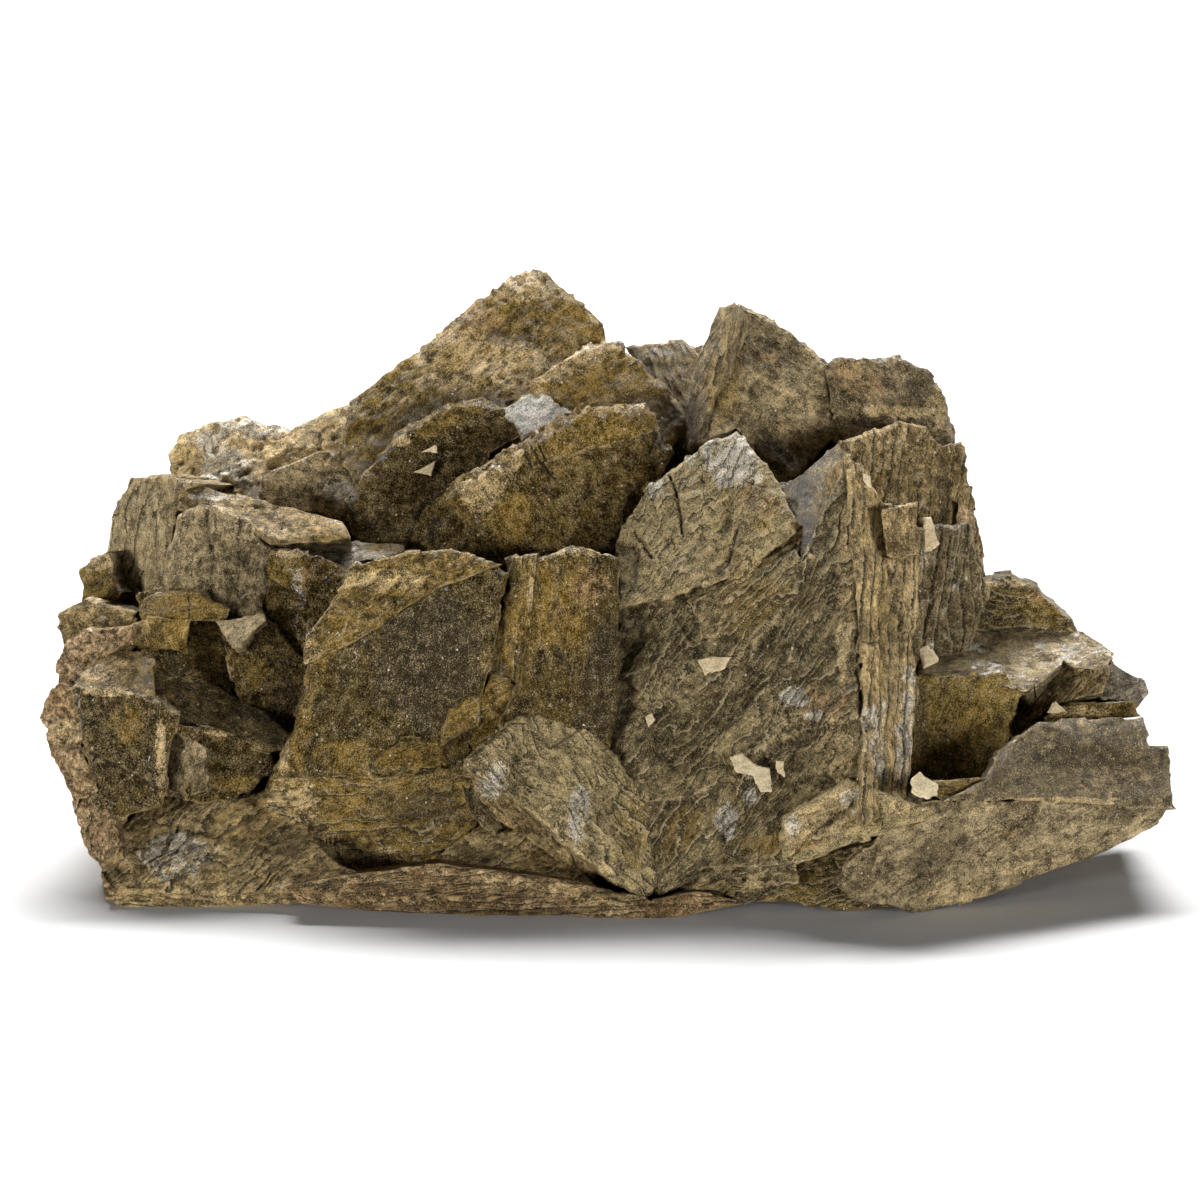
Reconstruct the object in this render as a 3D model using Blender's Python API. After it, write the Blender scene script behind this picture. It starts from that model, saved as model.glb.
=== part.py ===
"""Siderite specimen: bladed and rhombic siderite crystals grown together on a lumpy matrix, with small
pale chips of calcite caught on their faces. The cluster is one solid, cut off flat where it rests.

The crystals of the front are drawn on a board that leans back from the viewer. A place on it is
(across, up) in millimetres, with up counted from where the board meets the floor, and depth is measured
behind it. The crystals of the back and the ends are rhombs, each placed by its own middle and the way
that it faces.

Run it with: blender --background --python part.py
"""

import math

import bmesh
import bpy
from mathutils import Matrix, Vector

MM = 0.001
BOARD_LEAN = math.radians(15)
EYE_DISTANCE = 600  # mm from the eye to the board: what lies behind it is drawn that much smaller
EYE_UP = 39.5  # mm up the board, straight ahead of the eye
MIDDLE_X = 0.4  # mm, from the board's origin to the middle of the specimen
MIDDLE_Y = 41.4
BACK_SHARE = 0.92  # a crystal's hidden end against its face
BACK_CLIP = 0.22  # how much of a rhomb's sides its clipped corners take
BACK_BEVEL = 0.9  # mm
LEDGE_FOOT = 0.35  # a ledge's height at its lower edge, against its upper edge
REST_GAP = 0.45  # mm between a chip and the face that carries it, measured along the line of sight
CHIP_RIM = 0.25  # mm, the widest bevel of a chip
LUMP_SUBDIVISIONS = 2
FLOOR_BLOCK = 200  # mm, side of the block that cuts the underside flat

# Each finish: linear base colour, roughness
FINISHES = {
    "dark_amber": ((0.085, 0.060, 0.020), 0.42),
    "amber": ((0.190, 0.120, 0.035), 0.45),
    "olive": ((0.105, 0.080, 0.034), 0.48),
    "grey_brown": ((0.150, 0.125, 0.085), 0.50),
    "tan": ((0.290, 0.210, 0.105), 0.62),
    "rust": ((0.330, 0.190, 0.090), 0.78),
    "pale_grey": ((0.330, 0.310, 0.270), 0.40),
    "matrix": ((0.110, 0.080, 0.040), 0.80),
    "calcite": ((0.720, 0.640, 0.460), 0.55),
}

faces = {}


def finish(name):
    """The material of that name, made once."""
    material = bpy.data.materials.get(name)
    if material is None:
        colour, roughness = FINISHES[name]
        material = bpy.data.materials.new(name)
        material.use_nodes = True
        shader = material.node_tree.nodes["Principled BSDF"]
        shader.inputs["Base Color"].default_value = (*colour, 1)
        shader.inputs["Roughness"].default_value = roughness
        shader.inputs["Metallic"].default_value = 0
    return material


def from_board(across, up, depth):
    """The point that the eye sees at (across, up) on the board, that depth behind it, all in mm."""
    spread = 1 + depth / EYE_DISTANCE
    across = across * spread
    up = EYE_UP + (up - EYE_UP) * spread
    x = across - MIDDLE_X
    y = up * math.sin(BOARD_LEAN) + depth * math.cos(BOARD_LEAN) - MIDDLE_Y
    z = up * math.cos(BOARD_LEAN) - depth * math.sin(BOARD_LEAN)
    return Vector((x, y, z)) * MM


def new_object(name, mesh, material, collection, helper=False):
    data = bpy.data.meshes.new(name)
    mesh.to_mesh(data)
    mesh.free()
    data.materials.append(finish(material))
    made = bpy.data.objects.new(name, data)
    made.hide_render = helper
    made.display_type = "WIRE" if helper else "TEXTURED"
    collection.objects.link(made)
    return made


def raise_ledges(mesh, front, angle, spacing, height):
    """Cuts the front face into strips at that angle and lifts every second one, most at its upper edge."""
    normal = front.normal.copy()
    middle = front.calc_center_median()
    level = Vector((0, 0, 1)).cross(normal).normalized()
    upward = normal.cross(level)
    across = upward * math.cos(angle) - level * math.sin(angle)
    reach = [across.dot(vert.co - middle) for vert in front.verts]
    mark = mesh.faces.layers.int["front"]
    front[mark] = 1
    count = int((max(reach) - min(reach)) / spacing)
    start = (max(reach) + min(reach) - count * spacing) / 2
    lines = [start + spacing * k for k in range(count + 1)]
    for line in lines:
        cut = [face for face in mesh.faces if face[mark]]
        parts = {part for face in cut for part in (face, *face.edges, *face.verts)}
        bmesh.ops.bisect_plane(
            mesh, geom=list(parts), plane_co=middle + across * line, plane_no=across, dist=spacing / 50
        )
    for low, high in list(zip(lines, lines[1:]))[::2]:
        strip = [
            face for face in mesh.faces
            if face[mark] and low < across.dot(face.calc_center_median() - middle) < high
        ]
        raised = bmesh.ops.extrude_face_region(mesh, geom=strip)["geom"]
        bmesh.ops.delete(mesh, geom=strip, context="FACES_ONLY")
        for vert in (part for part in raised if isinstance(part, bmesh.types.BMVert)):
            share = (across.dot(vert.co - middle) - low) / spacing
            vert.co += normal * height * (LEDGE_FOOT + (1 - LEDGE_FOOT) * min(max(share, 0), 1))


def prism(name, front, back_shift, bevel, material, ledges=None):
    """A crystal from its front face: the face is drawn out to its hidden end, and its rim is bevelled."""
    mesh = bmesh.new()
    mesh.faces.layers.int.new("front")
    face = mesh.faces.new([mesh.verts.new(point) for point in front])
    drawn = bmesh.ops.extrude_face_region(mesh, geom=[face])["geom"]
    back = [part for part in drawn if isinstance(part, bmesh.types.BMVert)]
    middle = sum((vert.co for vert in back), Vector()) / len(back)
    bmesh.ops.scale(mesh, verts=back, vec=[BACK_SHARE] * 3, space=Matrix.Translation(-middle))
    bmesh.ops.translate(mesh, verts=back, vec=back_shift)
    bmesh.ops.recalc_face_normals(mesh, faces=mesh.faces)
    bmesh.ops.bevel(
        mesh, geom=list(face.edges), offset=bevel * MM, segments=1, affect="EDGES", clamp_overlap=True
    )
    mesh.normal_update()
    if ledges:
        outward = -back_shift.normalized()
        facing = [part for part in mesh.faces if part.normal.dot(outward) > 0]
        front_face = max(facing, key=lambda part: part.calc_area())
        angle, spacing, height = ledges
        raise_ledges(mesh, front_face, math.radians(angle), spacing * MM, height * MM)
    bmesh.ops.recalc_face_normals(mesh, faces=mesh.faces)
    return new_object(name, mesh, material, bpy.data.collections["crystals"], helper=True)


def depth_of(name, across, up):
    """How deep behind the board that crystal's face lies at (across, up)."""
    middle_across, middle_up, depth, turn, lean = faces[name]
    turned = math.tan(math.radians(turn)) * (across - middle_across)
    leaned = math.tan(math.radians(lean)) * (up - middle_up)
    return depth + turned + leaned


def crystal(name, outline, depth, turn, lean, body, bevel, material, ledges=None):
    """A crystal of the front. Its face turns to the right and leans back by so many degrees, and its body
    runs (across, up, back) from there. Ledges are (angle from level, spacing, height)."""
    middle_across = sum(across for across, up in outline) / len(outline)
    middle_up = sum(up for across, up in outline) / len(outline)
    faces[name] = (middle_across, middle_up, depth, turn, lean)
    front = [from_board(across, up, depth_of(name, across, up)) for across, up in outline]
    across, up, back = body
    start = from_board(middle_across, middle_up, depth)
    end = from_board(middle_across + across, middle_up + up, depth + back)
    prism(name, front, end - start, bevel, material, ledges)


def rhomb(width, height, slant, clip):
    """A parallelogram's outline, with its two sharp corners clipped off by that share of its sides."""
    lean = height * math.tan(math.radians(slant)) / 2
    low_left = Vector((-width / 2 - lean, -height / 2))
    low_right = Vector((width / 2 - lean, -height / 2))
    top_right = Vector((width / 2 + lean, height / 2))
    top_left = Vector((-width / 2 + lean, height / 2))
    return [
        low_left.lerp(low_right, clip),
        low_right,
        top_right.lerp(low_right, clip),
        top_right.lerp(top_left, clip),
        top_left,
        low_left.lerp(top_left, clip),
    ]


def back_crystal(name, place, facing, lean, roll, size, material, ledges=None):
    """A rhomb of the back or an end: its middle in mm, the way it faces (0 is the front, 90 the right end,
    180 the back), how far it leans back and rolls, and its width, height, thickness and slant."""
    width, height, thickness, slant = size
    turn = Matrix.Rotation(math.radians(facing), 3, "Z")
    turn = turn @ Matrix.Rotation(math.radians(-lean), 3, "X") @ Matrix.Rotation(math.radians(roll), 3, "Y")
    middle = Vector(place) - Vector((MIDDLE_X, MIDDLE_Y, 0))
    outline = rhomb(width, height, slant, BACK_CLIP)
    front = [(middle + turn @ Vector((point.x, 0, point.y))) * MM for point in outline]
    prism(name, front, turn @ Vector((0, thickness * MM, 0)), BACK_BEVEL, material, ledges)


def lump(name, place, radii):
    """A rounded lump of matrix: its middle and its half sizes in mm."""
    mesh = bmesh.new()
    middle = Vector(place) - Vector((MIDDLE_X, MIDDLE_Y, 0))
    stretch = Matrix.Translation(middle * MM) @ Matrix.Diagonal([radius * MM for radius in radii] + [1])
    bmesh.ops.create_icosphere(mesh, subdivisions=LUMP_SUBDIVISIONS, radius=1, matrix=stretch)
    return new_object(name, mesh, "matrix", bpy.data.collections["crystals"], helper=True)


def chip(name, outline, host, thickness, lift=0.0, material="calcite"):
    """A small flake or block that lies on the host crystal's face."""
    clear = REST_GAP + lift
    front = [from_board(a, u, depth_of(host, a, u) - clear - thickness) for a, u in outline]
    back = [from_board(a, u, depth_of(host, a, u) - clear) for a, u in outline]
    mesh = bmesh.new()
    face = mesh.faces.new([mesh.verts.new(point) for point in front])
    drawn = bmesh.ops.extrude_face_region(mesh, geom=[face])["geom"]
    ends = [part for part in drawn if isinstance(part, bmesh.types.BMVert)]
    bmesh.ops.translate(mesh, verts=ends, vec=back[0] - front[0])
    bmesh.ops.recalc_face_normals(mesh, faces=mesh.faces)
    rim = min(CHIP_RIM, thickness / 4) * MM
    bmesh.ops.bevel(mesh, geom=list(face.edges), offset=rim, segments=1, affect="EDGES", clamp_overlap=True)
    return new_object(name, mesh, material, bpy.data.collections["siderite_specimen"])


def left_end():
    """The blades, the rust rind and the small amber crystal at the left end."""
    crystal(
        "left_slab",
        [(-59, 55), (-54, 55.2), (-50, 54.2), (-52.5, 53), (-54, 46), (-55, 40.5), (-59, 37.5),
         (-62, 45.5), (-61.5, 50)],
        26, -38, 8, (6, 0, 16), 0.6, "grey_brown", ledges=(80, 2.2, 0.5),
    )
    crystal(
        "grey_blade",
        [(-54, 46), (-53, 50.5), (-50, 52), (-47, 51), (-44, 49.5), (-41, 46), (-41.5, 42), (-43, 38.5),
         (-47, 38), (-55, 40.5)],
        19, -10, 10, (2, 1.5, 14), 0.8, "grey_brown",
    )
    crystal(
        "grey_blade_top",
        [(-53, 51), (-53, 53), (-50, 54), (-37.5, 51), (-32, 49.5), (-31, 47.5), (-41, 46.5), (-46, 50)],
        23, -5, 45, (2, -3, 12), 0.5, "tan",
    )
    crystal(
        "left_nub",
        [(-65.5, 43.5), (-62, 46), (-60, 40.5), (-61, 38.5), (-65, 39)],
        24, -30, 5, (5, 0, 14), 0.8, "amber",
    )
    crystal(
        "low_nub",
        [(-68.3, 37.5), (-64.5, 40), (-58, 38), (-59, 36), (-64, 35), (-67.5, 33.5)],
        20, -30, 5, (6, 0, 16), 0.8, "tan",
    )
    crystal(
        "amber_cap",
        [(-58, 38.5), (-57, 40), (-54, 41), (-51, 41), (-46.5, 38.5), (-47, 37), (-57.5, 37)],
        17, -5, 25, (0, -1, 12), 0.5, "amber",
    )
    crystal(
        "amber_foot",
        [(-59, 36), (-56, 37), (-51.5, 37), (-52, 33), (-59, 34)],
        16, 0, -12, (0, 1, 12), 0.4, "amber",
    )
    crystal(
        "pale_tip",
        [(-48, 37), (-42.5, 38), (-42, 37), (-45, 34), (-46, 34)],
        15, -20, 40, (2, -2, 9), 0.3, "pale_grey",
    )
    crystal(
        "tip_wedge",
        [(-46.5, 34.5), (-42, 37), (-39.5, 34), (-37, 31), (-37, 27), (-38, 22.5), (-41.5, 24),
         (-44.5, 28)],
        16, 10, -5, (0, 0, 14), 0.5, "dark_amber",
    )
    crystal(
        "left_blade",
        [(-66, 28.5), (-61, 28.5), (-56, 27), (-53, 25), (-54, 21), (-54.5, 15.5), (-62, 13.5),
         (-63.5, 15.5), (-64.5, 21)],
        8, -8, -4, (1, 4.3, 20), 0.8, "dark_amber",
    )
    crystal(
        "left_blade_top",
        [(-66, 28), (-64, 31.5), (-59.5, 34), (-56, 32.5), (-55.5, 27), (-61, 28)],
        11, -8, 45, (1, -2, 12), 0.5, "amber",
    )
    crystal(
        "left_blade_back",
        [(-56, 32.5), (-50, 29.5), (-42, 25.5), (-38, 22), (-42, 21), (-48, 23), (-54.5, 24), (-56, 27)],
        14, 10, 45, (0, -4, 12), 0.5, "grey_brown",
    )
    crystal(
        "wedge_left",
        [(-54.5, 22), (-53.5, 23.5), (-50, 20.5), (-49.5, 16), (-51.5, 15), (-54, 16)],
        9, -40, 0, (4, 0, 14), 0.4, "pale_grey",
    )
    crystal(
        "wedge_right",
        [(-53.5, 23.5), (-48, 23), (-42, 21.5), (-41.5, 18.5), (-44.5, 15.5), (-49.5, 14.5), (-51.5, 15),
         (-50, 20.5)],
        9.5, 15, 8, (0, 0, 14), 0.4, "dark_amber",
    )
    crystal(
        "rind_upper",
        [(-68.3, 31.5), (-67.3, 34), (-64, 36), (-59, 36.5), (-59.5, 34), (-64, 31.5), (-65.5, 28),
         (-68, 28)],
        15, -35, 10, (6, 0, 16), 0.6, "rust",
    )
    crystal(
        "rind_middle",
        [(-70.3, 25), (-69.3, 28), (-67.5, 29.5), (-65, 28), (-65, 21), (-63, 15.5), (-66, 14),
         (-69.3, 21)],
        12, -45, 0, (7, 0, 20), 0.6, "rust",
    )
    crystal(
        "rind_lower",
        [(-66.5, 14.5), (-63.5, 16), (-61.5, 13), (-60, 9), (-62, 5.5), (-64, 7.5), (-65.5, 11)],
        10, -40, -5, (6, 0, 18), 0.5, "rust",
    )
    crystal(
        "floor_slab",
        [(-62.5, 5.5), (-60, 9), (-57.5, 12.5), (-54.5, 15.5), (-49.5, 14.5), (-45, 15), (-39.5, 17),
         (-38, 13), (-35.5, 9.5), (-32, 6.5), (-28, 4.5), (-39.5, 3), (-50, 3), (-61, 3)],
        9.7, -5, 50, (0, -6, 10), 0.5, "grey_brown", ledges=(35, 3.0, 0.6),
    )
    crystal(
        "floor_slab_edge",
        [(-62.5, 5.5), (-61, 3.5), (-50, 3.5), (-39.5, 3.5), (-37, 1.5), (-50, 1), (-59.5, 1), (-62, 2)],
        3.2, 0, -6, (0, 2, 22), 0.3, "tan",
    )


def upper_left():
    """The frosted mass, the rough crystal and the ledges between them and the tall blade."""
    crystal(
        "upper_left_mass",
        [(-54.3, 57.5), (-52.3, 60.7), (-45, 63.2), (-39, 61.2), (-31, 64.7), (-28.5, 59.5), (-35, 58),
         (-42, 54), (-43, 51.5), (-53, 54)],
        38, -15, 35, (4, -6, 18), 1.0, "tan", ledges=(20, 3.4, 0.7),
    )
    crystal(
        "rough_crystal",
        [(-43, 53), (-42, 55), (-38.5, 57), (-35, 58.5), (-32, 58.5), (-28.5, 54), (-28.5, 51),
         (-30.5, 49), (-35, 50), (-42.5, 51.5)],
        30, -5, 15, (2, -2, 14), 0.7, "grey_brown",
    )
    crystal(
        "ledge_top",
        [(-41, 46), (-39, 47), (-34.5, 46.5), (-30, 44.5), (-31, 42.5), (-35, 43.5)],
        18.5, 0, 60, (0, -3, 9), 0.3, "pale_grey",
    )
    crystal(
        "ledge_top_back",
        [(-36.5, 47), (-30, 47), (-24.5, 46.5), (-25, 45), (-32.5, 44.5), (-34.5, 46)],
        21, 0, 60, (0, -3, 9), 0.3, "pale_grey",
    )
    crystal(
        "ledge_front",
        [(-42, 43.5), (-41, 45.5), (-38, 45.5), (-35, 44), (-31, 42.5), (-34.5, 38.5), (-36.5, 35.5),
         (-37, 31.5), (-39.5, 34.5), (-42, 38), (-43, 40.5)],
        17, -15, -3, (0, 0, 14), 0.5, "dark_amber",
    )


def summit():
    """The two peaks, the right shoulder and the blades that lean against them."""
    crystal(
        "peak",
        [(-33, 59), (-31.2, 64.7), (-23, 71), (-15, 77.4), (-9.5, 81.3), (-7, 80.8), (-2, 76.8),
         (0.5, 74.3), (1, 71.5), (0, 62), (-15, 58), (-30, 52)],
        33, -8, 28, (1, -3, 14), 0.8, "amber", ledges=(38, 5.0, 0.6),
    )
    crystal(
        "peak_step",
        [(-9, 67), (-5, 69.5), (-1, 72), (1, 72), (4, 70.5), (7, 67.5), (10.5, 64), (11.5, 61.5),
         (9, 58.5), (-7.5, 60.5)],
        29, 5, 25, (0, -2, 12), 0.7, "amber",
    )
    crystal(
        "back_plate",
        [(4, 71), (6.5, 71.5), (10, 71.5), (12.5, 70), (12.5, 67), (11, 63.5), (7, 66)],
        37, 5, 20, (0, -1, 12), 0.5, "grey_brown",
    )
    crystal(
        "dark_blade",
        [(-25.5, 60), (-20, 63.5), (-15, 65), (-12, 63), (-10, 60.5), (-14.5, 58), (-15, 55.5),
         (-19, 53.5), (-22, 50.5), (-25, 46), (-30, 47), (-32, 52), (-29, 55.5)],
        25, -5, 12, (0, -2, 14), 1.5, "dark_amber",
    )
    crystal(
        "pale_facet",
        [(-12, 63.5), (-8, 65.5), (-6.5, 64.5), (-4, 63), (-4.5, 62), (-9.5, 60)],
        26, 0, 35, (0, -2, 8), 0.3, "pale_grey",
    )
    crystal(
        "centre_blade",
        [(-19, 53), (-17, 55), (-9, 59.5), (-5, 62.5), (0, 63.5), (5.5, 64), (9, 58), (5, 52.5),
         (3, 49.5), (2, 45.5), (-7.5, 45.5), (-12, 44), (-15, 47)],
        19, 3, 8, (0, -2, 16), 2.2, "dark_amber",
    )
    crystal(
        "centre_flank",
        [(-25, 46), (-22, 50.5), (-19, 53), (-15, 47), (-12, 44), (-16, 44), (-21, 45)],
        21, -35, 0, (3, 0, 14), 0.4, "dark_amber",
    )
    crystal(
        "right_peak",
        [(16.5, 77), (20, 75.5), (24, 73.5), (28.5, 69), (29, 64.5), (30, 60.5), (25, 55.5), (22, 54),
         (19.5, 58.5), (17, 61), (13, 59.5), (14, 65), (15.5, 71)],
        27, 12, 22, (2, -4, 16), 0.7, "grey_brown", ledges=(-35, 4.0, 0.5),
    )
    crystal(
        "right_peak_flank",
        [(16.5, 77), (14.5, 76), (12, 70), (10.5, 64), (9.5, 59.5), (11, 58), (13, 59.5), (14, 65),
         (15.5, 71)],
        26, -58, 20, (6, -4, 14), 0.5, "grey_brown",
    )
    crystal(
        "right_shoulder",
        [(28, 69.2), (30, 70.2), (38, 70.2), (41.5, 68.5), (43.5, 65), (44.6, 60.5), (45.2, 55.5),
         (37.5, 58), (30, 58.5), (29, 64.5)],
        30, 18, 18, (0, -3, 16), 1.0, "grey_brown", ledges=(-20, 3.5, 0.6),
    )


def middle_blades():
    """The tall blade with its broken rind, the blade beside it and the low blade that leans on them."""
    crystal(
        "tall_blade",
        [(-41.5, 17), (-39, 22.5), (-37, 29), (-37, 34.5), (-34, 38.5), (-31, 44), (-25, 45.5),
         (-18.5, 46), (-11.5, 43), (-13, 34.5), (-14.5, 28), (-16, 18)],
        8, -8, 3, (0, -2, 18), 1.0, "olive",
    )
    crystal(
        "tall_blade_rind",
        [(-37, 31.5), (-37, 35), (-34, 38.5), (-31, 44), (-25, 45.5), (-18.5, 46), (-12.5, 44),
         (-20, 41), (-25, 38), (-31, 34)],
        7.2, -8, 3, (0, -1, 5), 0.6, "tan", ledges=(35, 2.6, 0.4),
    )
    crystal(
        "tall_blade_foot",
        [(-41.5, 17.5), (-16, 18.5), (-14, 14.5), (-15.5, 11), (-19, 8), (-21, 6), (-26, 5), (-32, 5),
         (-37, 8), (-40, 11.5), (-42, 14.5)],
        10.5, -8, -28, (0, 2, 14), 0.8, "amber", ledges=(4, 2.6, 0.5),
    )
    crystal(
        "face_ledge",
        [(-27, 20.5), (-24.5, 22), (-20, 22), (-20, 18.5), (-28, 18.5)],
        6.6, -8, 3, (0, 0, 5), 0.4, "amber",
    )
    crystal(
        "mid_blade",
        [(-8, 45), (-2, 46.5), (2.5, 45), (2.5, 27), (1.5, 21), (-12, 21), (-12.5, 24.5), (-10, 29.5),
         (-9, 37)],
        6.5, 8, 6, (-3.5, 0, 14), 0.8, "amber",
    )
    crystal(
        "mid_blade_flank",
        [(-12, 44), (-8, 45), (-9, 37), (-10, 29), (-12.5, 27.5), (-15, 28), (-13, 34.5), (-11.5, 40.5)],
        8.5, -35, 4, (1, 0, 14), 0.5, "amber",
    )
    crystal(
        "mid_blade_ledge",
        [(-19, 26), (-15, 28), (-13.5, 30), (-9.5, 29), (-9.5, 21), (-16, 18.5), (-20.5, 18.5),
         (-20.5, 22)],
        6.2, 0, 0, (0, 0, 10), 0.7, "amber",
    )
    crystal(
        "low_blade",
        [(-16, 20), (-15, 22), (-12.5, 23.5), (-8, 25), (-3.5, 24), (1.5, 22), (4, 20), (6.5, 14.5),
         (7.5, 8), (7, 3.5), (6, 2), (3, 3), (-1, 6), (-5, 9.5), (-9.5, 14), (-13, 17)],
        2, 18, 22, (-2.4, -1.4, 14), 0.8, "grey_brown", ledges=(-48, 3.2, 0.5),
    )
    crystal(
        "low_blade_edge",
        [(-17, 19), (-16, 19.5), (-13, 16.5), (-9, 13), (-5, 9), (-0.5, 5.5), (-1, 3.5), (-7, 8),
         (-12.5, 11.5), (-15.5, 15)],
        3.2, -20, -30, (1, 2, 12), 0.4, "tan",
    )
    crystal(
        "hollow_wedge",
        [(-20, 7), (-16.5, 10), (-12.5, 12.5), (-6.5, 9.5), (-1, 3.5), (-10, 4), (-16, 5)],
        6, -10, 20, (0, -2, 12), 0.4, "tan",
    )
    crystal(
        "thin_blade",
        [(-17.5, 17), (-16, 17), (-12, 11.5), (-13.5, 10.5), (-16, 13)],
        5.5, 10, 10, (0, 0, 10), 0.3, "dark_amber",
    )


def big_block():
    """The big shingled block right of the middle, its ribbed side and the plates on its shoulder."""
    crystal(
        "shingled_face",
        [(2, 39.5), (18, 43), (25, 44.5), (30, 55.5), (31, 58), (32, 44.5), (32.5, 27), (33, 14.5),
         (23, 6.5), (12.5, 6), (7.5, 3.5), (7, 8), (5, 18), (2, 24)],
        4, -22, 18, (-2, -6, 20), 0.6, "grey_brown", ledges=(56, 4.2, 0.7),
    )
    crystal(
        "block_top_facet",
        [(22, 54), (25, 55.5), (30, 59.5), (31.5, 58), (30, 52), (27, 44.5), (25, 44), (24, 50.5)],
        14, -12, 35, (0, -3, 16), 0.5, "grey_brown",
    )
    crystal(
        "top_plate",
        [(1.5, 45.5), (3, 49.5), (6, 54), (11, 58), (17, 61), (20, 57.5), (24.5, 50), (24.5, 48),
         (18, 43), (11, 40.5), (2, 38.5)],
        11.6, -18, 22, (1, -2, 14), 0.8, "grey_brown", ledges=(-30, 4.5, 0.6),
    )
    crystal(
        "second_plate",
        [(17, 42.5), (24.5, 46), (25, 44), (23, 41), (19, 38.5), (15, 35), (12.5, 34.5), (11, 39.5)],
        6.9, -22, 18, (0, -1, 8), 0.5, "grey_brown",
    )
    crystal(
        "ribbed_side",
        [(31, 58), (33, 56.5), (35.5, 52), (40, 51), (40, 44.5), (39.5, 34.5), (40, 28), (39, 18),
         (38.5, 14), (33, 11), (33, 27), (32, 44.5)],
        4.6, 48, 21, (-6, -2, 18), 0.5, "tan", ledges=(88, 1.9, 0.6),
    )
    crystal("amber_cube", [(35.5, 51), (40, 52), (40, 45), (36, 45)], 6.5, 30, 10, (0, 0, 12), 0.5, "amber")
    crystal(
        "corner_block",
        [(22.5, 12.5), (31, 17.5), (38, 14.5), (41.5, 13.5), (40.5, 12), (33, 9.5), (24.5, 6.5),
         (22.5, 6.5)],
        -5.5, -10, 5, (2, 0, 20), 0.6, "tan",
    )
    crystal(
        "block_foot",
        [(7, 3.5), (12.5, 6.5), (23, 7), (24.5, 6.5), (25, 4), (18, 1.5), (12.5, 3)],
        0.6, -20, -20, (0, 3, 18), 0.4, "olive",
    )


def right_end():
    """The ribbed column below the shoulder and the slabs and blades of the right end."""
    crystal(
        "ribbed_column",
        [(30, 59.5), (34, 60.5), (37.5, 62), (41, 61.5), (43, 58.5), (45.5, 59.5), (47, 52), (48, 46),
         (48.5, 42.5), (42.5, 39.5), (38, 44.5), (35, 52), (31, 57.5)],
        24, 35, 5, (-2, 0, 18), 0.6, "tan", ledges=(82, 2.2, 0.6),
    )
    crystal(
        "column_rust",
        [(45, 52), (47, 50.5), (48.5, 42.5), (45.5, 42), (44.5, 47)],
        27, 50, 0, (-2, 0, 14), 0.4, "rust",
    )
    crystal(
        "right_ledge",
        [(42.5, 39), (44, 41), (48, 42), (51.5, 42.5), (54.5, 41), (59, 37), (60, 34.5), (50, 35.5),
         (45, 35), (43, 36.5)],
        18, 10, -5, (0, 1, 18), 0.6, "olive", ledges=(0, 1.9, 0.5),
    )
    crystal(
        "right_slab_top",
        [(40, 30), (40.5, 34), (45, 36.5), (60, 35.5), (64, 33), (63, 31), (57.5, 31.5), (53, 28.5),
         (50, 29.5)],
        13.5, 5, 60, (0, -3, 10), 0.3, "grey_brown",
    )
    crystal(
        "right_slab",
        [(40, 29.5), (50, 29.5), (52.5, 28), (51, 24.5), (50, 21), (48, 17), (42.5, 17.5), (39, 19)],
        10, 5, -8, (0, 1, 18), 0.6, "olive",
    )
    crystal(
        "right_wedge",
        [(52.5, 28), (57.5, 31.5), (63, 31), (62.5, 28), (56, 26.5), (53.5, 22.5), (50, 21)],
        14, -30, 20, (0, -2, 14), 0.3, "amber",
    )
    crystal(
        "grey_tip",
        [(62, 30.5), (64, 32), (68, 29.5), (68.5, 28), (66.5, 25.5), (62, 28)],
        15, 10, 20, (-3, -1, 14), 0.4, "pale_grey",
    )
    crystal(
        "thin_plate",
        [(56, 25), (57.5, 26.5), (67, 27), (67.5, 25), (55, 23.5)],
        12, 8, 10, (-2, 0, 12), 0.3, "amber",
    )
    crystal(
        "right_blade",
        [(48, 17), (50, 21), (55, 24.5), (68, 25), (69, 21.5), (71.5, 21.5), (72, 13.5), (52.5, 14.5),
         (43, 14.5)],
        3.4, 23, 25, (-4, -1, 22), 0.5, "grey_brown",
    )
    crystal(
        "right_blade_under",
        [(43, 14.5), (52.5, 14.5), (71.5, 13.5), (70, 11.5), (65.5, 9), (61, 7), (54, 4.5), (50, 2.5),
         (43.5, 1), (39.5, 0), (37, 1), (35, 5.5), (38, 9.5), (41, 12.5)],
        0.5, 23, -25, (-4, 4, 18), 0.5, "olive",
    )
    crystal(
        "right_blade_strip",
        [(40.5, 15.5), (42, 17), (52, 17.5), (53, 14.5), (43, 14.5)],
        -2.5, 23, 15, (0, 0, 18), 0.3, "amber",
    )


def base_layers():
    """The layered slabs under the front."""
    crystal(
        "bottom_slab",
        [(-39.5, 3.5), (-32, 5), (-20, 6.5), (-5, 4.5), (6, 2), (12.5, 3), (18, 1.5), (6.5, -1), (-5, 0),
         (-16, 0), (-28, 0.5), (-37.5, 1.5)],
        -1.5, 0, -10, (0, 3, 44), 0.5, "olive", ledges=(2, 1.3, 0.5),
    )
    crystal(
        "bottom_layers",
        [(24.5, 6.5), (33, 9.5), (41, 12.5), (38, 9.5), (35, 5.5), (37, 1), (29, 0.5), (25, 1.5),
         (18, 1.5), (12.5, 3.5)],
        -1, -5, -25, (0, 3, 24), 0.4, "olive",
    )


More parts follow.
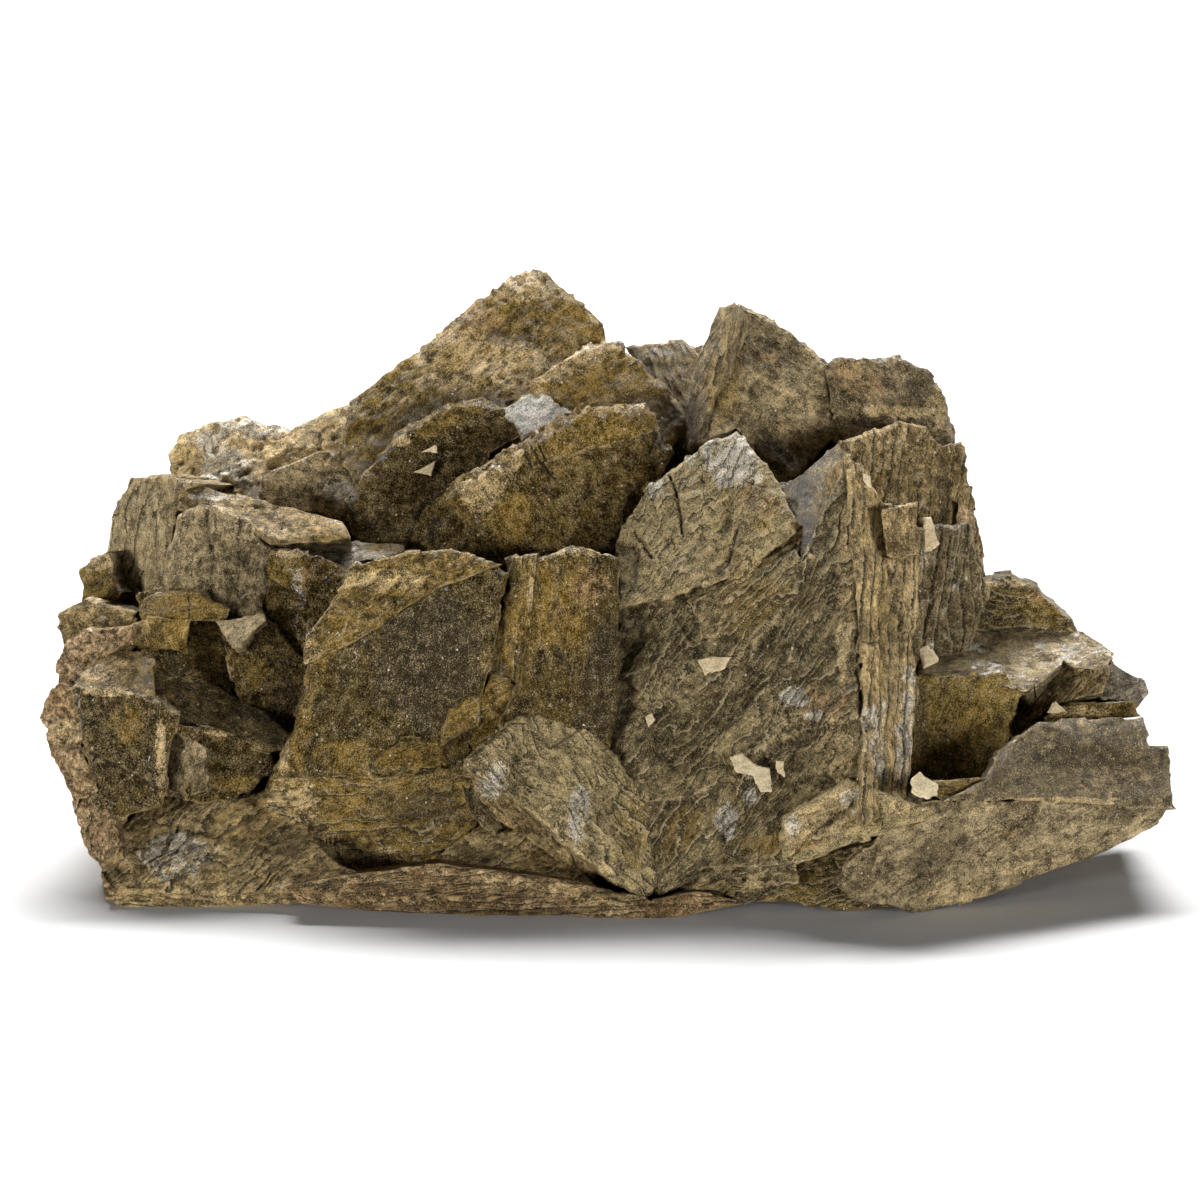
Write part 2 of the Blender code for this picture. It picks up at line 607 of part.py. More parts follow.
def back_and_ends():
    """The crystals of the back and the two ends."""
    back_crystal("back_left_blade", (-38, 74, 22), 205, 14, -20, (34, 28, 16, 12), "grey_brown", (20, 4, 0.6))
    back_crystal("back_middle_blade", (-9, 81, 21), 182, 8, 16, (34, 32, 18, 14), "olive")
    back_crystal("back_right_blade", (20, 79, 23), 168, 12, -12, (30, 36, 18, 10), "dark_amber", (75, 4, 0.6))
    back_crystal("back_corner_blade", (44, 68, 15), 142, 6, 20, (26, 26, 16, 14), "grey_brown")
    back_crystal("back_peak_face", (-10, 68, 50), 186, 28, -8, (30, 26, 16, 18), "amber", (25, 5, 0.6))
    back_crystal("back_right_peak_face", (20, 66, 48), 168, 24, 14, (26, 28, 16, 12), "grey_brown")
    back_crystal("back_shoulder", (38, 62, 40), 148, 28, -14, (22, 22, 14, 10), "olive")
    back_crystal("back_left_top", (-38, 68, 38), 202, 40, 10, (30, 20, 14, 16), "tan", (10, 4, 0.6))
    back_crystal("back_low_left", (-50, 66, 8), 222, -4, 8, (28, 20, 18, 12), "olive")
    back_crystal("back_low_middle", (-24, 84, 7), 192, -6, -6, (30, 18, 18, 16), "grey_brown", (5, 3, 0.5))
    back_crystal("back_low_right", (8, 85, 7), 176, -5, 5, (30, 18, 18, 12), "tan")
    back_crystal("back_low_corner", (34, 78, 7), 156, -5, -8, (26, 18, 18, 14), "dark_amber")
    back_crystal("right_end_upper", (45, 58, 27), 112, 18, 18, (22, 20, 14, 12), "grey_brown")
    back_crystal("right_end_lower", (60, 54, 13), 104, 8, -10, (26, 20, 18, 14), "amber", (0, 4, 0.6))
    back_crystal("left_end_upper", (-58, 56, 30), 248, 22, -14, (24, 22, 16, 12), "grey_brown")
    back_crystal("back_edge_blade_left", (-24, 76, 34), 120, 10, 24, (20, 26, 7, 14), "dark_amber")
    back_crystal("back_edge_blade_middle", (6, 78, 36), 215, 18, -30, (24, 22, 8, 16), "amber")
    back_crystal("back_edge_blade_right", (32, 74, 30), 205, 12, 28, (18, 24, 7, 12), "olive")
    back_crystal("back_low_blade", (-6, 81, 16), 138, 12, -34, (16, 20, 7, 14), "tan")
    back_crystal("left_end_lower", (-62, 52, 13), 258, 6, 10, (24, 22, 18, 14), "rust", (80, 4, 0.6))


def matrix_lumps():
    """The massive siderite that the crystals grew from, seen only in the hollows between them."""
    lump("matrix_body", (-5, 46, 16), (54, 30, 26))
    lump("matrix_left", (-40, 50, 20), (22, 20, 24))
    lump("matrix_peak", (-10, 56, 36), (19, 12, 24))
    lump("matrix_right_peak", (20, 54, 36), (18, 14, 26))
    lump("matrix_shoulder", (35, 54, 28), (14, 14, 26))
    lump("matrix_right", (46, 44, 12), (20, 20, 15))


def outer_skin(mesh):
    """Drops every shell but the largest: the pockets sealed between crystals are filled."""
    solid = bmesh.new()
    solid.from_mesh(mesh)
    unseen = set(solid.verts)
    shells = []
    while unseen:
        shell, edge_of_shell = set(), [next(iter(unseen))]
        while edge_of_shell:
            vert = edge_of_shell.pop()
            if vert in shell:
                continue
            shell.add(vert)
            edge_of_shell += [edge.other_vert(vert) for edge in vert.link_edges]
        unseen -= shell
        shells.append(shell)
    keep = max(shells, key=len)
    bmesh.ops.delete(solid, geom=[vert for vert in solid.verts if vert not in keep], context="VERTS")
    solid.to_mesh(mesh)
    solid.free()


def cluster():
    """All crystals and lumps joined in one solid and cut off flat where they rest."""
    helpers = bpy.data.collections["crystals"]
    block = bmesh.new()
    below = Matrix.Translation((0, 0, -FLOOR_BLOCK / 2 * MM))
    bmesh.ops.create_cube(block, size=FLOOR_BLOCK * MM, matrix=below)
    floor = new_object("floor_block", block, "matrix", bpy.data.collections["cutters"], helper=True)
    body = helpers.objects["matrix_body"]
    made = bpy.data.objects.new("siderite_cluster", body.data.copy())
    bpy.data.collections["siderite_specimen"].objects.link(made)
    join = made.modifiers.new("crystals", "BOOLEAN")
    join.operation = "UNION"
    join.operand_type = "COLLECTION"
    join.collection = helpers
    join.material_mode = "TRANSFER"
    cut = made.modifiers.new("flat underside", "BOOLEAN")
    cut.operation = "DIFFERENCE"
    cut.object = floor
    bpy.context.view_layer.update()
    graph = bpy.context.evaluated_depsgraph_get()
    solid = bpy.data.meshes.new_from_object(made.evaluated_get(graph))
    outer_skin(solid)
    made.modifiers.clear()
    made.data = solid


def calcite_chips():
    """The pale chips on the faces."""
    chip(
        "calcite_flake_large",
        [(16, 20), (17.5, 20.5), (19.5, 19), (21, 18.5), (21.5, 15.5), (20, 15.5), (19, 17.5), (17, 18)],
        "shingled_face", 0.9, lift=0.8,
    )
    chip(
        "calcite_flake_small", [(22, 19.5), (23, 19.5), (23, 17.5), (22, 18)],
        "shingled_face", 0.8, lift=0.7,
    )
    chip(
        "calcite_flake_golden", [(12, 32), (13.5, 32.5), (16.5, 32.5), (15.5, 31), (13, 30)],
        "shingled_face", 0.8, lift=0.75,
    )
    chip("calcite_grain", [(5.5, 25), (6.5, 25.5), (7, 24.5), (6, 23.5)], "shingled_face", 0.8, lift=0.7)
    chip(
        "calcite_block", [(39, 17), (40, 18), (42.5, 16.5), (42.5, 15), (41, 14.5), (39, 15.5)],
        "right_blade_strip", 2.2,
    )
    chip("calcite_cube", [(40, 33.5), (41, 34), (42.5, 32), (40.5, 31)], "right_slab", 2.0, lift=-2)
    chip(
        "calcite_splinter", [(40.5, 50), (41.5, 50), (42.5, 46.5), (41.5, 45.5), (40.5, 45.5)],
        "amber_cube", 1.2, lift=-2,
    )
    chip("calcite_chip_upper", [(33, 55.5), (34, 55), (34, 53.5), (33, 54.5)], "ribbed_side", 0.8, lift=0.6)
    chip("calcite_chip_right", [(56, 25.5), (57, 27), (58.5, 25.5)], "thin_plate", 1.0)
    chip("calcite_streak_upper", [(-22.5, 58), (-20.5, 59), (-20.5, 58)], "dark_blade", 0.6)
    chip("calcite_streak_lower", [(-23.5, 55.5), (-20.5, 57), (-21, 55)], "dark_blade", 0.6)


def main():
    for old in list(bpy.data.objects):
        bpy.data.objects.remove(old, do_unlink=True)
    scene = bpy.context.scene.collection
    for name in ("siderite_specimen", "crystals", "cutters"):
        scene.children.link(bpy.data.collections.new(name))
    left_end()
    upper_left()
    summit()
    middle_blades()
    big_block()
    right_end()
    base_layers()
    back_and_ends()
    matrix_lumps()
    cluster()
    calcite_chips()


main()
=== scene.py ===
"""Siderite specimen: bladed and rhombic siderite crystals grown together on a lumpy matrix, with small pale
chips of calcite caught on their faces.

Each crystal is one closed surface worked out on a grid: its face is spread over a drawn outline and carved
with growth lines, steps, grooves, crusts, pits and cracks, its sides run back from the rim in thin layers,
and the crystals of one region are joined in one mesh. Lengths are in millimetres until a mesh is made.
"""

import math

import bpy
import numpy as np
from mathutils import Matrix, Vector


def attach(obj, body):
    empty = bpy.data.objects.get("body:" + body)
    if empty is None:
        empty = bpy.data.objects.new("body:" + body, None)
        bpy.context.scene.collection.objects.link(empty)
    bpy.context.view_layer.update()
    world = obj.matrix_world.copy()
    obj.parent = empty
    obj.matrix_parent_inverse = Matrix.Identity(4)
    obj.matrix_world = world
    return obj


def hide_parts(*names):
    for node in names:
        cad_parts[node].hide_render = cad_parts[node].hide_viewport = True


bl_info = {
    "name": "Siderite specimen",
    "version": (1, 0, 0),
    "blender": (4, 5, 0),
    "location": "View3D > Sidebar > Siderite",
    "description": "A cluster of bladed siderite crystals with calcite chips",
    "category": "Add Mesh",
}

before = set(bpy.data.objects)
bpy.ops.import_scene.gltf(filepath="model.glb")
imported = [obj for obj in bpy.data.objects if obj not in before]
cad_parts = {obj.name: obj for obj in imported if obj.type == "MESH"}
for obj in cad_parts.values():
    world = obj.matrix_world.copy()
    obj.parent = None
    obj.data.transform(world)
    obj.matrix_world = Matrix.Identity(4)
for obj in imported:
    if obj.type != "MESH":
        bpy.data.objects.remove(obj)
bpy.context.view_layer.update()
CLUSTER = "siderite_cluster"

MM = 0.001
BOARD_LEAN = math.radians(15)
EYE_DISTANCE = 600  # mm from the eye to the board on which the front crystals are drawn
EYE_UP = 39.5  # mm up the board, straight ahead of the eye
MIDDLE_X = 0.4  # mm, from the board's origin to the middle of the specimen
MIDDLE_Y = 41.4
BACK_SHARE = 0.92  # a crystal's hidden end against its face
BACK_CLIP = 0.22  # how much of a rhomb's sides its clipped corners take
BACK_BEVEL = 0.9  # mm
BACK_WANDER = 0.9  # how much the growth lines of a back crystal wander
LINE_HEIGHT = 0.24  # mm: growth lines this high and higher are drawn in full
FLOOR_BLOCK = 200  # mm, side of the block that cuts the underside flat
LINE_WIDTH = 0.17  # mm that the lip of a growth line takes on a face
SIDE_LINE_WIDTH = 0.15  # mm that it takes on a side
SIDE_GROWTH = 1.22  # each ring of a side lies this many times further from the last one
SIDE_GAP = 2.0  # mm, the widest gap between those rings
SHARP_ANGLE = 38  # degrees between faces from which an edge is shaded sharp
CHIP_CLEAR = 0.45  # mm from a chip's back to the host's drawn face
CHIP_ROOT = 0.25  # mm that a chip reaches back past that
CHIP_STEP = 0.1  # mm, spacing of a chip's grid
CHIP_BEVEL = 0.3  # mm, at most a third of a chip's thickness
SLOPE_PLACES = ((0, 40), (1, 40), (0, 41))  # mm, places on the board that give the slope of a face
LINES_AT_REST = (3.0, 0.0, 0.6, "lips")  # growth lines too low to be seen
LUMP_LUMPS = 1.6  # mm, height of the lumps on the matrix
LUMP_STEPS = 0.35  # mm, height of the small steps between them
SIDE_FADE = 5  # mm over which the stains of a face fade on its sides
GLOW_FADE = 2.0  # mm over which a rim glows
COAT_SHARE = 0.22  # the most coat that a glossy place has
SURFACE = {"IOR": 1.5, "Specular IOR Level": 0.20, "Coat Roughness": 0.22, "Coat IOR": 1.5}
# The next three colours paint light: a highlight on the lips of the growth lines, glints, and sparkle specks
LIP_HIGHLIGHT_COLOUR = (0.76, 0.62, 0.37)  # the lips of the growth lines
GLINT_COLOUR = (0.76, 0.60, 0.33)
SPARKLE_SPECK_COLOUR = (0.85, 0.74, 0.54)
PLATE_RUFFLE = 1.6  # how far the borders of the mosaic wander, in plates
FLOOR_RINGS = (0.15, 0.6, 2.0, 6.0)  # m, radii of the floor's rings
FLOOR_SIDES = 96
VIEW_WIDTH = 150  # mm of the board that the camera sees
SENSOR_WIDTH = 36  # mm
LAMP_AIM = (0, 0, 0.03)  # m
LAMPS = {  # place in metres, size in metres, power in watts
    "key": ((-0.05, 1.54, 1.92), (2.2, 0.6), 180),
    "left_rake": ((-1.60, -1.40, 0.18), (0.5, 0.4), 37),
    "right_fill": ((1.70, -1.20, 0.18), (0.5, 0.4), 31),
}
WORLD_STRENGTH = 0.046
CLIP_START = 0.01  # m
BUMP_HEIGHT = 0.0008  # m
SPECK_SCALES = (1.3, 2.9)  # specks to a millimetre, for the large and the small ones
STAINS = ("frost", "rust", "amber", "dark", "tan")


# ---------------------------------------------------------------- settings that a user would change


class SideriteShape(bpy.types.PropertyGroup):
    """How finely the crystals are carved."""

    front_step: bpy.props.FloatProperty(
        name="Front grid", description="Spacing of the grid on the front crystals, in millimetres",
        default=0.28, min=0.1, max=2,
    )
    back_step: bpy.props.FloatProperty(
        name="Back grid", description="Spacing of the grid on the back crystals, in millimetres",
        default=0.42, min=0.1, max=3,
    )
    relief: bpy.props.FloatProperty(
        name="Relief", description="Height of the carving against the real height", default=1, min=0, max=3,
        subtype="FACTOR",
    )
    ragged: bpy.props.FloatProperty(
        name="Ragged rims", description="How far the rims wander from their outlines, in millimetres",
        default=0.40, min=0, max=2,
    )


def colour_property(name, description, default):
    """A colour with its name, its description and its default."""
    return bpy.props.FloatVectorProperty(
        name=name, description=description, default=default, size=3, min=0, max=1, subtype="COLOR"
    )


class SideriteColours(bpy.types.PropertyGroup):
    """The colours that every finish of the crystals shares."""

    # Amber also colours the painted glow of thin rims, as if light shone through them, besides real amber
    # stains
    amber: colour_property("Amber", "Thin, glowing edges and small clear crystals", (0.290, 0.175, 0.030))
    rust: colour_property("Rust", "Weathered orange-tan rind", (0.420, 0.250, 0.105))
    frost: colour_property("Frost", "White frosting on bruised faces", (0.740, 0.715, 0.640))
    # Tan also colours the crests and rims, which are partly real wear and partly a painted highlight
    tan: colour_property("Tan", "Worn crests and broken rims", (0.600, 0.435, 0.210))
    # Dark fill of cracks and dark stains, and also painted shade in hollows and painted shadow under the
    # growth lines
    dirt: colour_property("Dirt", "Dark filling of cracks and hollows", (0.025, 0.017, 0.007))
    floor: colour_property("Floor", "The pale floor of the stage", (0.640, 0.640, 0.640))


# ---------------------------------------------------------------- noise
# Where noise is called, the number that a place is divided by is the size of its lumps in millimetres, and
# the number added to the seed keeps one use of the noise apart from the others.


def scatter(x, y, z):
    """A repeatable whole number under 2**30 for each whole-numbered place."""
    mixed = (
        x.astype(np.int64).astype(np.uint32) * np.uint32(73856093)
        ^ y.astype(np.int64).astype(np.uint32) * np.uint32(19349663)
        ^ z.astype(np.int64).astype(np.uint32) * np.uint32(83492791)
    )
    mixed = (mixed ^ (mixed >> np.uint32(13))) * np.uint32(1274126177)
    mixed = (mixed ^ (mixed >> np.uint32(15))) * np.uint32(2246822519)
    return (mixed ^ (mixed >> np.uint32(16))) & np.uint32(0x3FFFFFFF)


def chance(x, y=0.0, z=0.0):
    """A repeatable number from 0 to 1 for each whole-numbered place."""
    x, y, z = np.broadcast_arrays(*(np.asarray(v, float) for v in (x, y, z)))
    return scatter(x, y, z) / float(0x40000000)


def noise(x, y, z=0.0):
    """Gradient noise from about -1 to 1: at each corner of the unit cell round a point a random slope
    is taken times the way to the point, and the eight are blended by 6t^5 - 15t^4 + 10t^3."""
    x, y, z = np.broadcast_arrays(*(np.asarray(v, float) for v in (x, y, z)))
    low = [np.floor(v) for v in (x, y, z)]
    part = [v - w for v, w in zip((x, y, z), low)]
    blend = [t * t * t * (t * (t * 6 - 15) + 10) for t in part]
    total = np.zeros(x.shape)
    for corner in np.ndindex(2, 2, 2):
        slope = scatter(*(w + c for w, c in zip(low, corner)))
        height = 0.0
        weight = 1.0
        for axis, c in enumerate(corner):
            lean = ((slope >> np.uint32(10 * axis)) & np.uint32(1023)) / 511.5 - 1
            height = height + lean * (part[axis] - c)
            weight = weight * (blend[axis] if c else 1 - blend[axis])
        total += weight * height
    return total * 1.5


def clouds(x, y, z=0.0, octaves=3):
    """Noise summed over octaves, each at twice the pitch and half the height of the one before."""
    return sum(noise(x * 2**k, y * 2**k, z * 2**k + 17.3 * k) / 2**k for k in range(octaves)) / 1.6


def plates(x, y, seed, tilt, soft):
    """Scattered plates: each point takes the value of its nearest seed, a number of its own plus the tilt
    times the way up from the seed, eased into the next plate's where the two are equally near. Returns the
    value and how much nearer the nearest seed is than the next."""
    low_x, low_y = np.floor(x), np.floor(y)
    first = np.full(x.shape, 9.0)
    second = np.full(x.shape, 9.0)
    value = np.zeros(x.shape)
    beside = np.zeros(x.shape)
    for i, j in np.ndindex(3, 3):
        cell_x, cell_y = low_x + i - 1, low_y + j - 1
        over = y - cell_y - chance(cell_x, cell_y, seed + 1)
        away = np.hypot(cell_x + chance(cell_x, cell_y, seed) - x, over)
        here = chance(cell_x, cell_y, seed + 2) - 0.5 + tilt * over
        nearest = away < first
        near = ~nearest & (away < second)
        beside = np.where(nearest, value, np.where(near, here, beside))
        second = np.where(nearest, first, np.where(near, away, second))
        value = np.where(nearest, here, value)
        first = np.where(nearest, away, first)
    gap = second - first
    return beside + (value - beside) * (0.5 + 0.5 * smooth(gap, 0, soft)), gap


def smooth(value, low=0.0, high=1.0):
    """0 below low, 1 above high, and 3t^2 - 2t^3 between them."""
    t = np.clip((value - low) / (high - low), 0, 1)
    return t * t * (3 - 2 * t)


def stairs(value, riser=0.18):
    """The value in even treads: each riser takes that share of its tread."""
    whole = np.floor(value)
    return whole + smooth(value - whole, 0, riser)


# ---------------------------------------------------------------- reliefs: functions of a place on a face
# Each maker returns a function of (across, up, seed) that gives a height in mm.


def turned(across, up, angle):
    """Coordinates along lines at that angle from level, and up across them."""
    c, s = math.cos(math.radians(angle)), math.sin(math.radians(angle))
    return across * c + up * s, up * c - across * s


def rough(scale, height, octaves=4):
    """Plain lumpy noise."""

    def carve(across, up, seed):
        return height * clouds(across / scale, up / scale, seed + 9.7, octaves)

    return carve


def crust(spacing, height, share=0.7):
    """Grains that stand up from the face: a dome on that share of scattered cells."""

    def carve(across, up, seed):
        x = across / spacing + 0.4 * noise(across / spacing, up / spacing, seed)
        y = up / spacing
        dome = np.zeros(np.shape(x))
        for i, j in np.ndindex(3, 3):
            cell_x, cell_y = np.floor(x) + i - 1, np.floor(y) + j - 1
            grain_x = cell_x + chance(cell_x, cell_y, seed + 21)
            grain_y = cell_y + chance(cell_x, cell_y, seed + 22)
            away = np.hypot(grain_x - x, grain_y - y)
            own = chance(cell_x, cell_y, seed + 23)
            reach = 0.45 + 0.25 * own / share
            shape = np.sqrt(np.clip(1 - (away / reach) ** 2, 0, 1))
            dome = np.maximum(dome, shape * (own < share) * (0.4 + 0.6 * own / share))
        return height * dome

    return carve


def pits(spacing, depth, share=0.4):
    """Dents on that share of scattered cells."""
    grains = crust(spacing, -depth, share)
    return lambda across, up, seed: grains(across, up, seed + 60)


def cracks(spacing, depth, angle=0.0, stretch=1.0, width=0.07, share=0.6):
    """Grooves between scattered plates, and a small step in height from plate to plate."""

    def carve(across, up, seed):
        along, over = turned(across, up, angle)
        shift = 0.3 * clouds(along / spacing, over / spacing, seed + 1.9, 3)
        value, gap = plates(
            along / (spacing * stretch) + shift, over / spacing + shift, seed + 33, 0.0, 0.12
        )
        patchy = noise(along / spacing / 2, over / spacing / 2, seed + 12.5)
        kept = smooth(patchy, -0.2 - share, 0.4 - share)
        return depth * (smooth(gap, 0, width) - 1) * kept + 0.4 * depth * value

    return carve


def shelf(points, height, ragged=0.5, sharp=0.35):
    """The face above a line, drawn from left to right through the points, stands higher by that much."""
    xs, ys = zip(*points)

    def carve(across, up, seed):
        edge = np.interp(across, xs, ys)
        edge = edge + ragged * stairs(2.2 * clouds(across / 1.7, up / 2.5, seed + 4.4, 3), 0.3)
        return height * smooth(up - edge, 0, sharp)

    return carve


def groove(points, width, depth):
    """A crack along a drawn line: depth fades from the line to the width, and the line wanders a little."""

    def carve(across, up, seed):
        x = across + 0.35 * clouds(across / 2, up / 2, seed + 6.1, 3)
        y = up + 0.35 * clouds(across / 2, up / 2, seed + 16.1, 3)
        return -depth * (1 - smooth(line_distance(x, y, points), 0, width))

    return carve


def plateau(points, height, soft=0.35, fray=0.3):
    """The face inside a drawn outline stands higher by that much."""
    return lambda across, up, seed: height * patch(points, across, up, seed, soft, fray)


def within(spots, relief):
    """That relief only inside the spots, each (across, up, half width, half height)."""

    def carve(across, up, seed):
        return relief(across, up, seed) * spot_mask(spots, across, up, seed)

    return carve


def line_distance(x, y, points):
    """The distance from each place to the nearest point of a drawn line."""
    best = np.full(np.shape(x), 1e9)
    for (ax, ay), (bx, by) in zip(points, points[1:]):
        dx, dy = bx - ax, by - ay
        t = np.clip(((x - ax) * dx + (y - ay) * dy) / (dx * dx + dy * dy + 1e-9), 0, 1)
        best = np.minimum(best, np.hypot(ax + t * dx - x, ay + t * dy - y))
    return best


def spot_mask(spots, across, up, seed):
    """1 inside the spots and 0 outside, with edges that the noise frays."""
    mask = np.zeros(np.shape(across))
    fray = 0.45 * clouds(across / 2.6, up / 2.6, seed + 7.9, 4)
    for spot_across, spot_up, half_width, half_height in spots:
        away = np.hypot((across - spot_across) / half_width, (up - spot_up) / half_height)
        mask = np.maximum(mask, 1 - smooth(away + fray, 0.65, 1.1))
    return mask


def patch(points, across, up, seed, soft=0.35, fray=0.3):
    """1 inside a drawn outline and 0 outside: an odd number of its edges lies to the right of a place
    inside, and the distance to the nearest edge eases the border."""
    points = list(points)
    x = across + fray * clouds(across / 1.8, up / 1.8, seed + 5.2, 3)
    y = up + fray * clouds(across / 1.8, up / 1.8, seed + 15.2, 3)
    within_it = np.zeros(np.shape(x), bool)
    for (ax, ay), (bx, by) in zip(points, points[1:] + points[:1]):
        if ay != by:
            within_it ^= ((ay > y) != (by > y)) & (x < ax + (bx - ax) * (y - ay) / (by - ay))
    away = line_distance(x, y, points + points[:1])
    return smooth(np.where(within_it, away, -away), -soft / 2, soft / 2)


EASES = {"frost": 1.8, "tan": 1.0, "amber": 1.8, "dark": 2.5, "rust": 1.2}  # mm over which a stain ends


def stained(stains, kind, across, up, seed):
    """How much of one kind of stain lies on each place. A stain is a spot or a drawn outline."""
    mask = np.zeros(np.shape(across))
    for name, *place in stains:
        if name != kind:
            continue
        if len(place) == 1:
            here = patch(place[0], across, up, seed, EASES[kind], 0.9)
        else:
            here = spot_mask([place], across, up, seed)
        mask = np.maximum(mask, here)
    return mask


# ---------------------------------------------------------------- growth lines
# A crystal's face is crossed by lines where one thin layer ends over the next. A field counts them: it
# grows by one from line to line. The relief, the colour and the fine bump all follow that one field.


def count_lines(across, up, angle, spacing, wander, seed):
    """Lines counted across the angle: way across / spacing + wandering noise + a jump from plate to plate,
    so that the lines break off and curl round like tongues."""
    along, over = turned(across, up, angle)
    drift = clouds(along / (spacing * 6), over / (spacing * 4), seed + 2.2, 2)
    frayed = 0.35 * clouds(along / (spacing * 2), over / spacing, seed + 6.2, 2)
    jump, _ = plates(
        along / (spacing * 3.2) + frayed, over / (spacing * 1.5) + frayed, seed + 70, 0.0, 0.35
    )
    return over / spacing + wander * (2.0 * drift + 1.5 * jump + 0.3 * clouds(across, up, seed + 1.2, 2))


def lips(part, width):
    """Each layer falls from its raised lip to the foot of the next: 1 - part, then up within the width."""
    return np.where(part > 1 - width, (part - 1 + width) / width, 1 - part / (1 - width))


def slats(level, width, seed):
    """Each layer has a height of its own, eased into the next within the width."""
    row = np.floor(level)
    part = level - row
    own, after = chance(row, seed), chance(row + 1, seed)
    return own + (after - own) * smooth(part, 1 - width, 1) - 0.25 * (1 - smooth(part, 0, width))


# ---------------------------------------------------------------- finishes
# Each finish has its dark and its light colour (body, face), the reliefs that all its faces share, how thick
# the layers of its sides are and how far they stand out (layer), the size, the length and the contrast of
# its mosaic (plate) and its roughness (gloss). The other numbers say how strongly the streaks, the painted
# glints and sparkle specks, the painted glow, the crests (partly wear, partly a painted highlight), the
# darkening (painted shade in hollows and under the growth lines, and the dark fill of cracks and dark
# stains), the grains, the painted highlight on the lips of the growth lines and the contrast show.

USUAL = {"crest_wear_and_highlight": 0.80, "hollow": 1.0, "grains": 0.15, "contrast": 1.7, "lip_highlight": 0.32}
FINISHES = {
    "dark_amber": dict(
        body=(0.050, 0.030, 0.004), face=(0.170, 0.108, 0.022), relief=(rough(7, 0.5), rough(0.9, 0.05)),
        layer=(1.1, 0.16), plate=(1.5, 2.0, 0.35), streak=0.25, specks=0.9, gloss=0.31, glow=0.7,
        contrast=2.3,
    ),
    "amber": dict(
        body=(0.072, 0.044, 0.005), face=(0.240, 0.150, 0.030), relief=(rough(6, 0.5), rough(0.8, 0.06)),
        layer=(0.9, 0.18), plate=(1.1, 2.2, 0.5), streak=0.3, specks=0.8, gloss=0.38, glow=0.5,
        contrast=2.1,
    ),
    "olive": dict(
        body=(0.060, 0.038, 0.005), face=(0.200, 0.132, 0.028), relief=(rough(7, 0.5), rough(0.9, 0.055)),
        layer=(0.9, 0.18), plate=(1.2, 2.0, 0.45), streak=0.3, specks=1.0, gloss=0.36, glow=0.6,
        contrast=2.1,
    ),
    "grey_brown": dict(
        body=(0.125, 0.090, 0.040), face=(0.460, 0.350, 0.185), relief=(rough(7, 0.5), rough(0.8, 0.06)),
        layer=(0.8, 0.20), plate=(1.0, 1.8, 0.5), streak=0.2, specks=1.0, gloss=0.42, glow=0.1,
    ),
    "bark": dict(
        body=(0.080, 0.058, 0.022), face=(0.370, 0.280, 0.130), relief=(rough(7, 0.5), rough(0.8, 0.04)),
        layer=(0.7, 0.22), plate=(0.9, 2.0, 0.5), streak=0.15, specks=1.0, gloss=0.40, glow=0.15,
        lip_highlight=0.48, contrast=1.9,
    ),
    "tan": dict(
        body=(0.200, 0.130, 0.045), face=(0.620, 0.445, 0.200),
        relief=(rough(4, 0.4), crust(0.9, 0.12, 0.5)),
        layer=(0.7, 0.25), plate=(0.8, 1.6, 0.6), streak=0.3, specks=0.9, gloss=0.55, glow=0.2, grains=0.35,
    ),
    "rust": dict(
        body=(0.200, 0.118, 0.045), face=(0.540, 0.370, 0.195),
        relief=(rough(3, 0.45), crust(1.1, 0.3, 0.8)),
        layer=(0.9, 0.3), plate=(0.9, 1.2, 0.5), streak=0.2, specks=0.6, gloss=0.70, glow=0.0, grains=0.5,
    ),
    "pale_grey": dict(
        body=(0.200, 0.165, 0.115), face=(0.470, 0.410, 0.310), relief=(rough(5, 0.2), rough(0.7, 0.03)),
        layer=(0.6, 0.12), plate=(1.2, 2.0, 0.5), streak=0.4, specks=0.5, gloss=0.34, glow=0.0,
        crest_wear_and_highlight=0.3, hollow=0.7,
    ),
    "matrix": dict(
        body=(0.045, 0.031, 0.014), face=(0.150, 0.105, 0.050), relief=(),
        layer=(1.0, 0.2), plate=(1.2, 1.4, 0.6), streak=0.2, specks=1.0, gloss=0.60, glow=0.0,
    ),
    "pale_calcite": dict(
        body=(0.800, 0.620, 0.360), face=(0.940, 0.790, 0.520), relief=(rough(1.5, 0.10), rough(0.3, 0.02)),
        layer=(0.5, 0.08), plate=(0.5, 1.5, 0.3), streak=0.15, specks=0.0, gloss=0.50, glow=0.0,
        crest_wear_and_highlight=0.0, hollow=0.3, contrast=0.5,
    ),
}


# ---------------------------------------------------------------- crystal surfaces


def from_board(across, up, depth):
    """The points that the eye sees at (across, up) on the board, that depth behind it: each is drawn out
    from the eye by 1 + depth / EYE_DISTANCE, then leant back with the board."""
    spread = 1 + depth / EYE_DISTANCE
    across = across * spread
    up = EYE_UP + (up - EYE_UP) * spread
    x = across - MIDDLE_X
    y = up * math.sin(BOARD_LEAN) + depth * math.cos(BOARD_LEAN) - MIDDLE_Y
    z = up * math.cos(BOARD_LEAN) - depth * math.sin(BOARD_LEAN)
    return np.stack(np.broadcast_arrays(x, y, z), -1)


def unit(vectors):
    """The vectors over their lengths."""
    return vectors / np.maximum(np.linalg.norm(vectors, axis=-1, keepdims=True), 1e-12)


def seeing_place(outline):
    """The place inside the outline that is furthest from the nearest line through one of its edges."""
    low, high = outline.min(0), outline.max(0)
    places = np.stack(np.meshgrid(*np.linspace(low, high, 61).T), -1).reshape(-1, 2)
    after = np.roll(outline, -1, axis=0)
    inward = unit(np.stack([outline[:, 1] - after[:, 1], after[:, 0] - outline[:, 0]], -1))
    clear = ((places[:, None] - outline) * inward).sum(-1).min(1)
    return places[clear.argmax()]


def rim_distance(places, outline):
    """The distance from each place to the nearest point of a closed outline."""
    closed = np.vstack([outline, outline[:1]])
    return line_distance(places[..., 0], places[..., 1], closed)


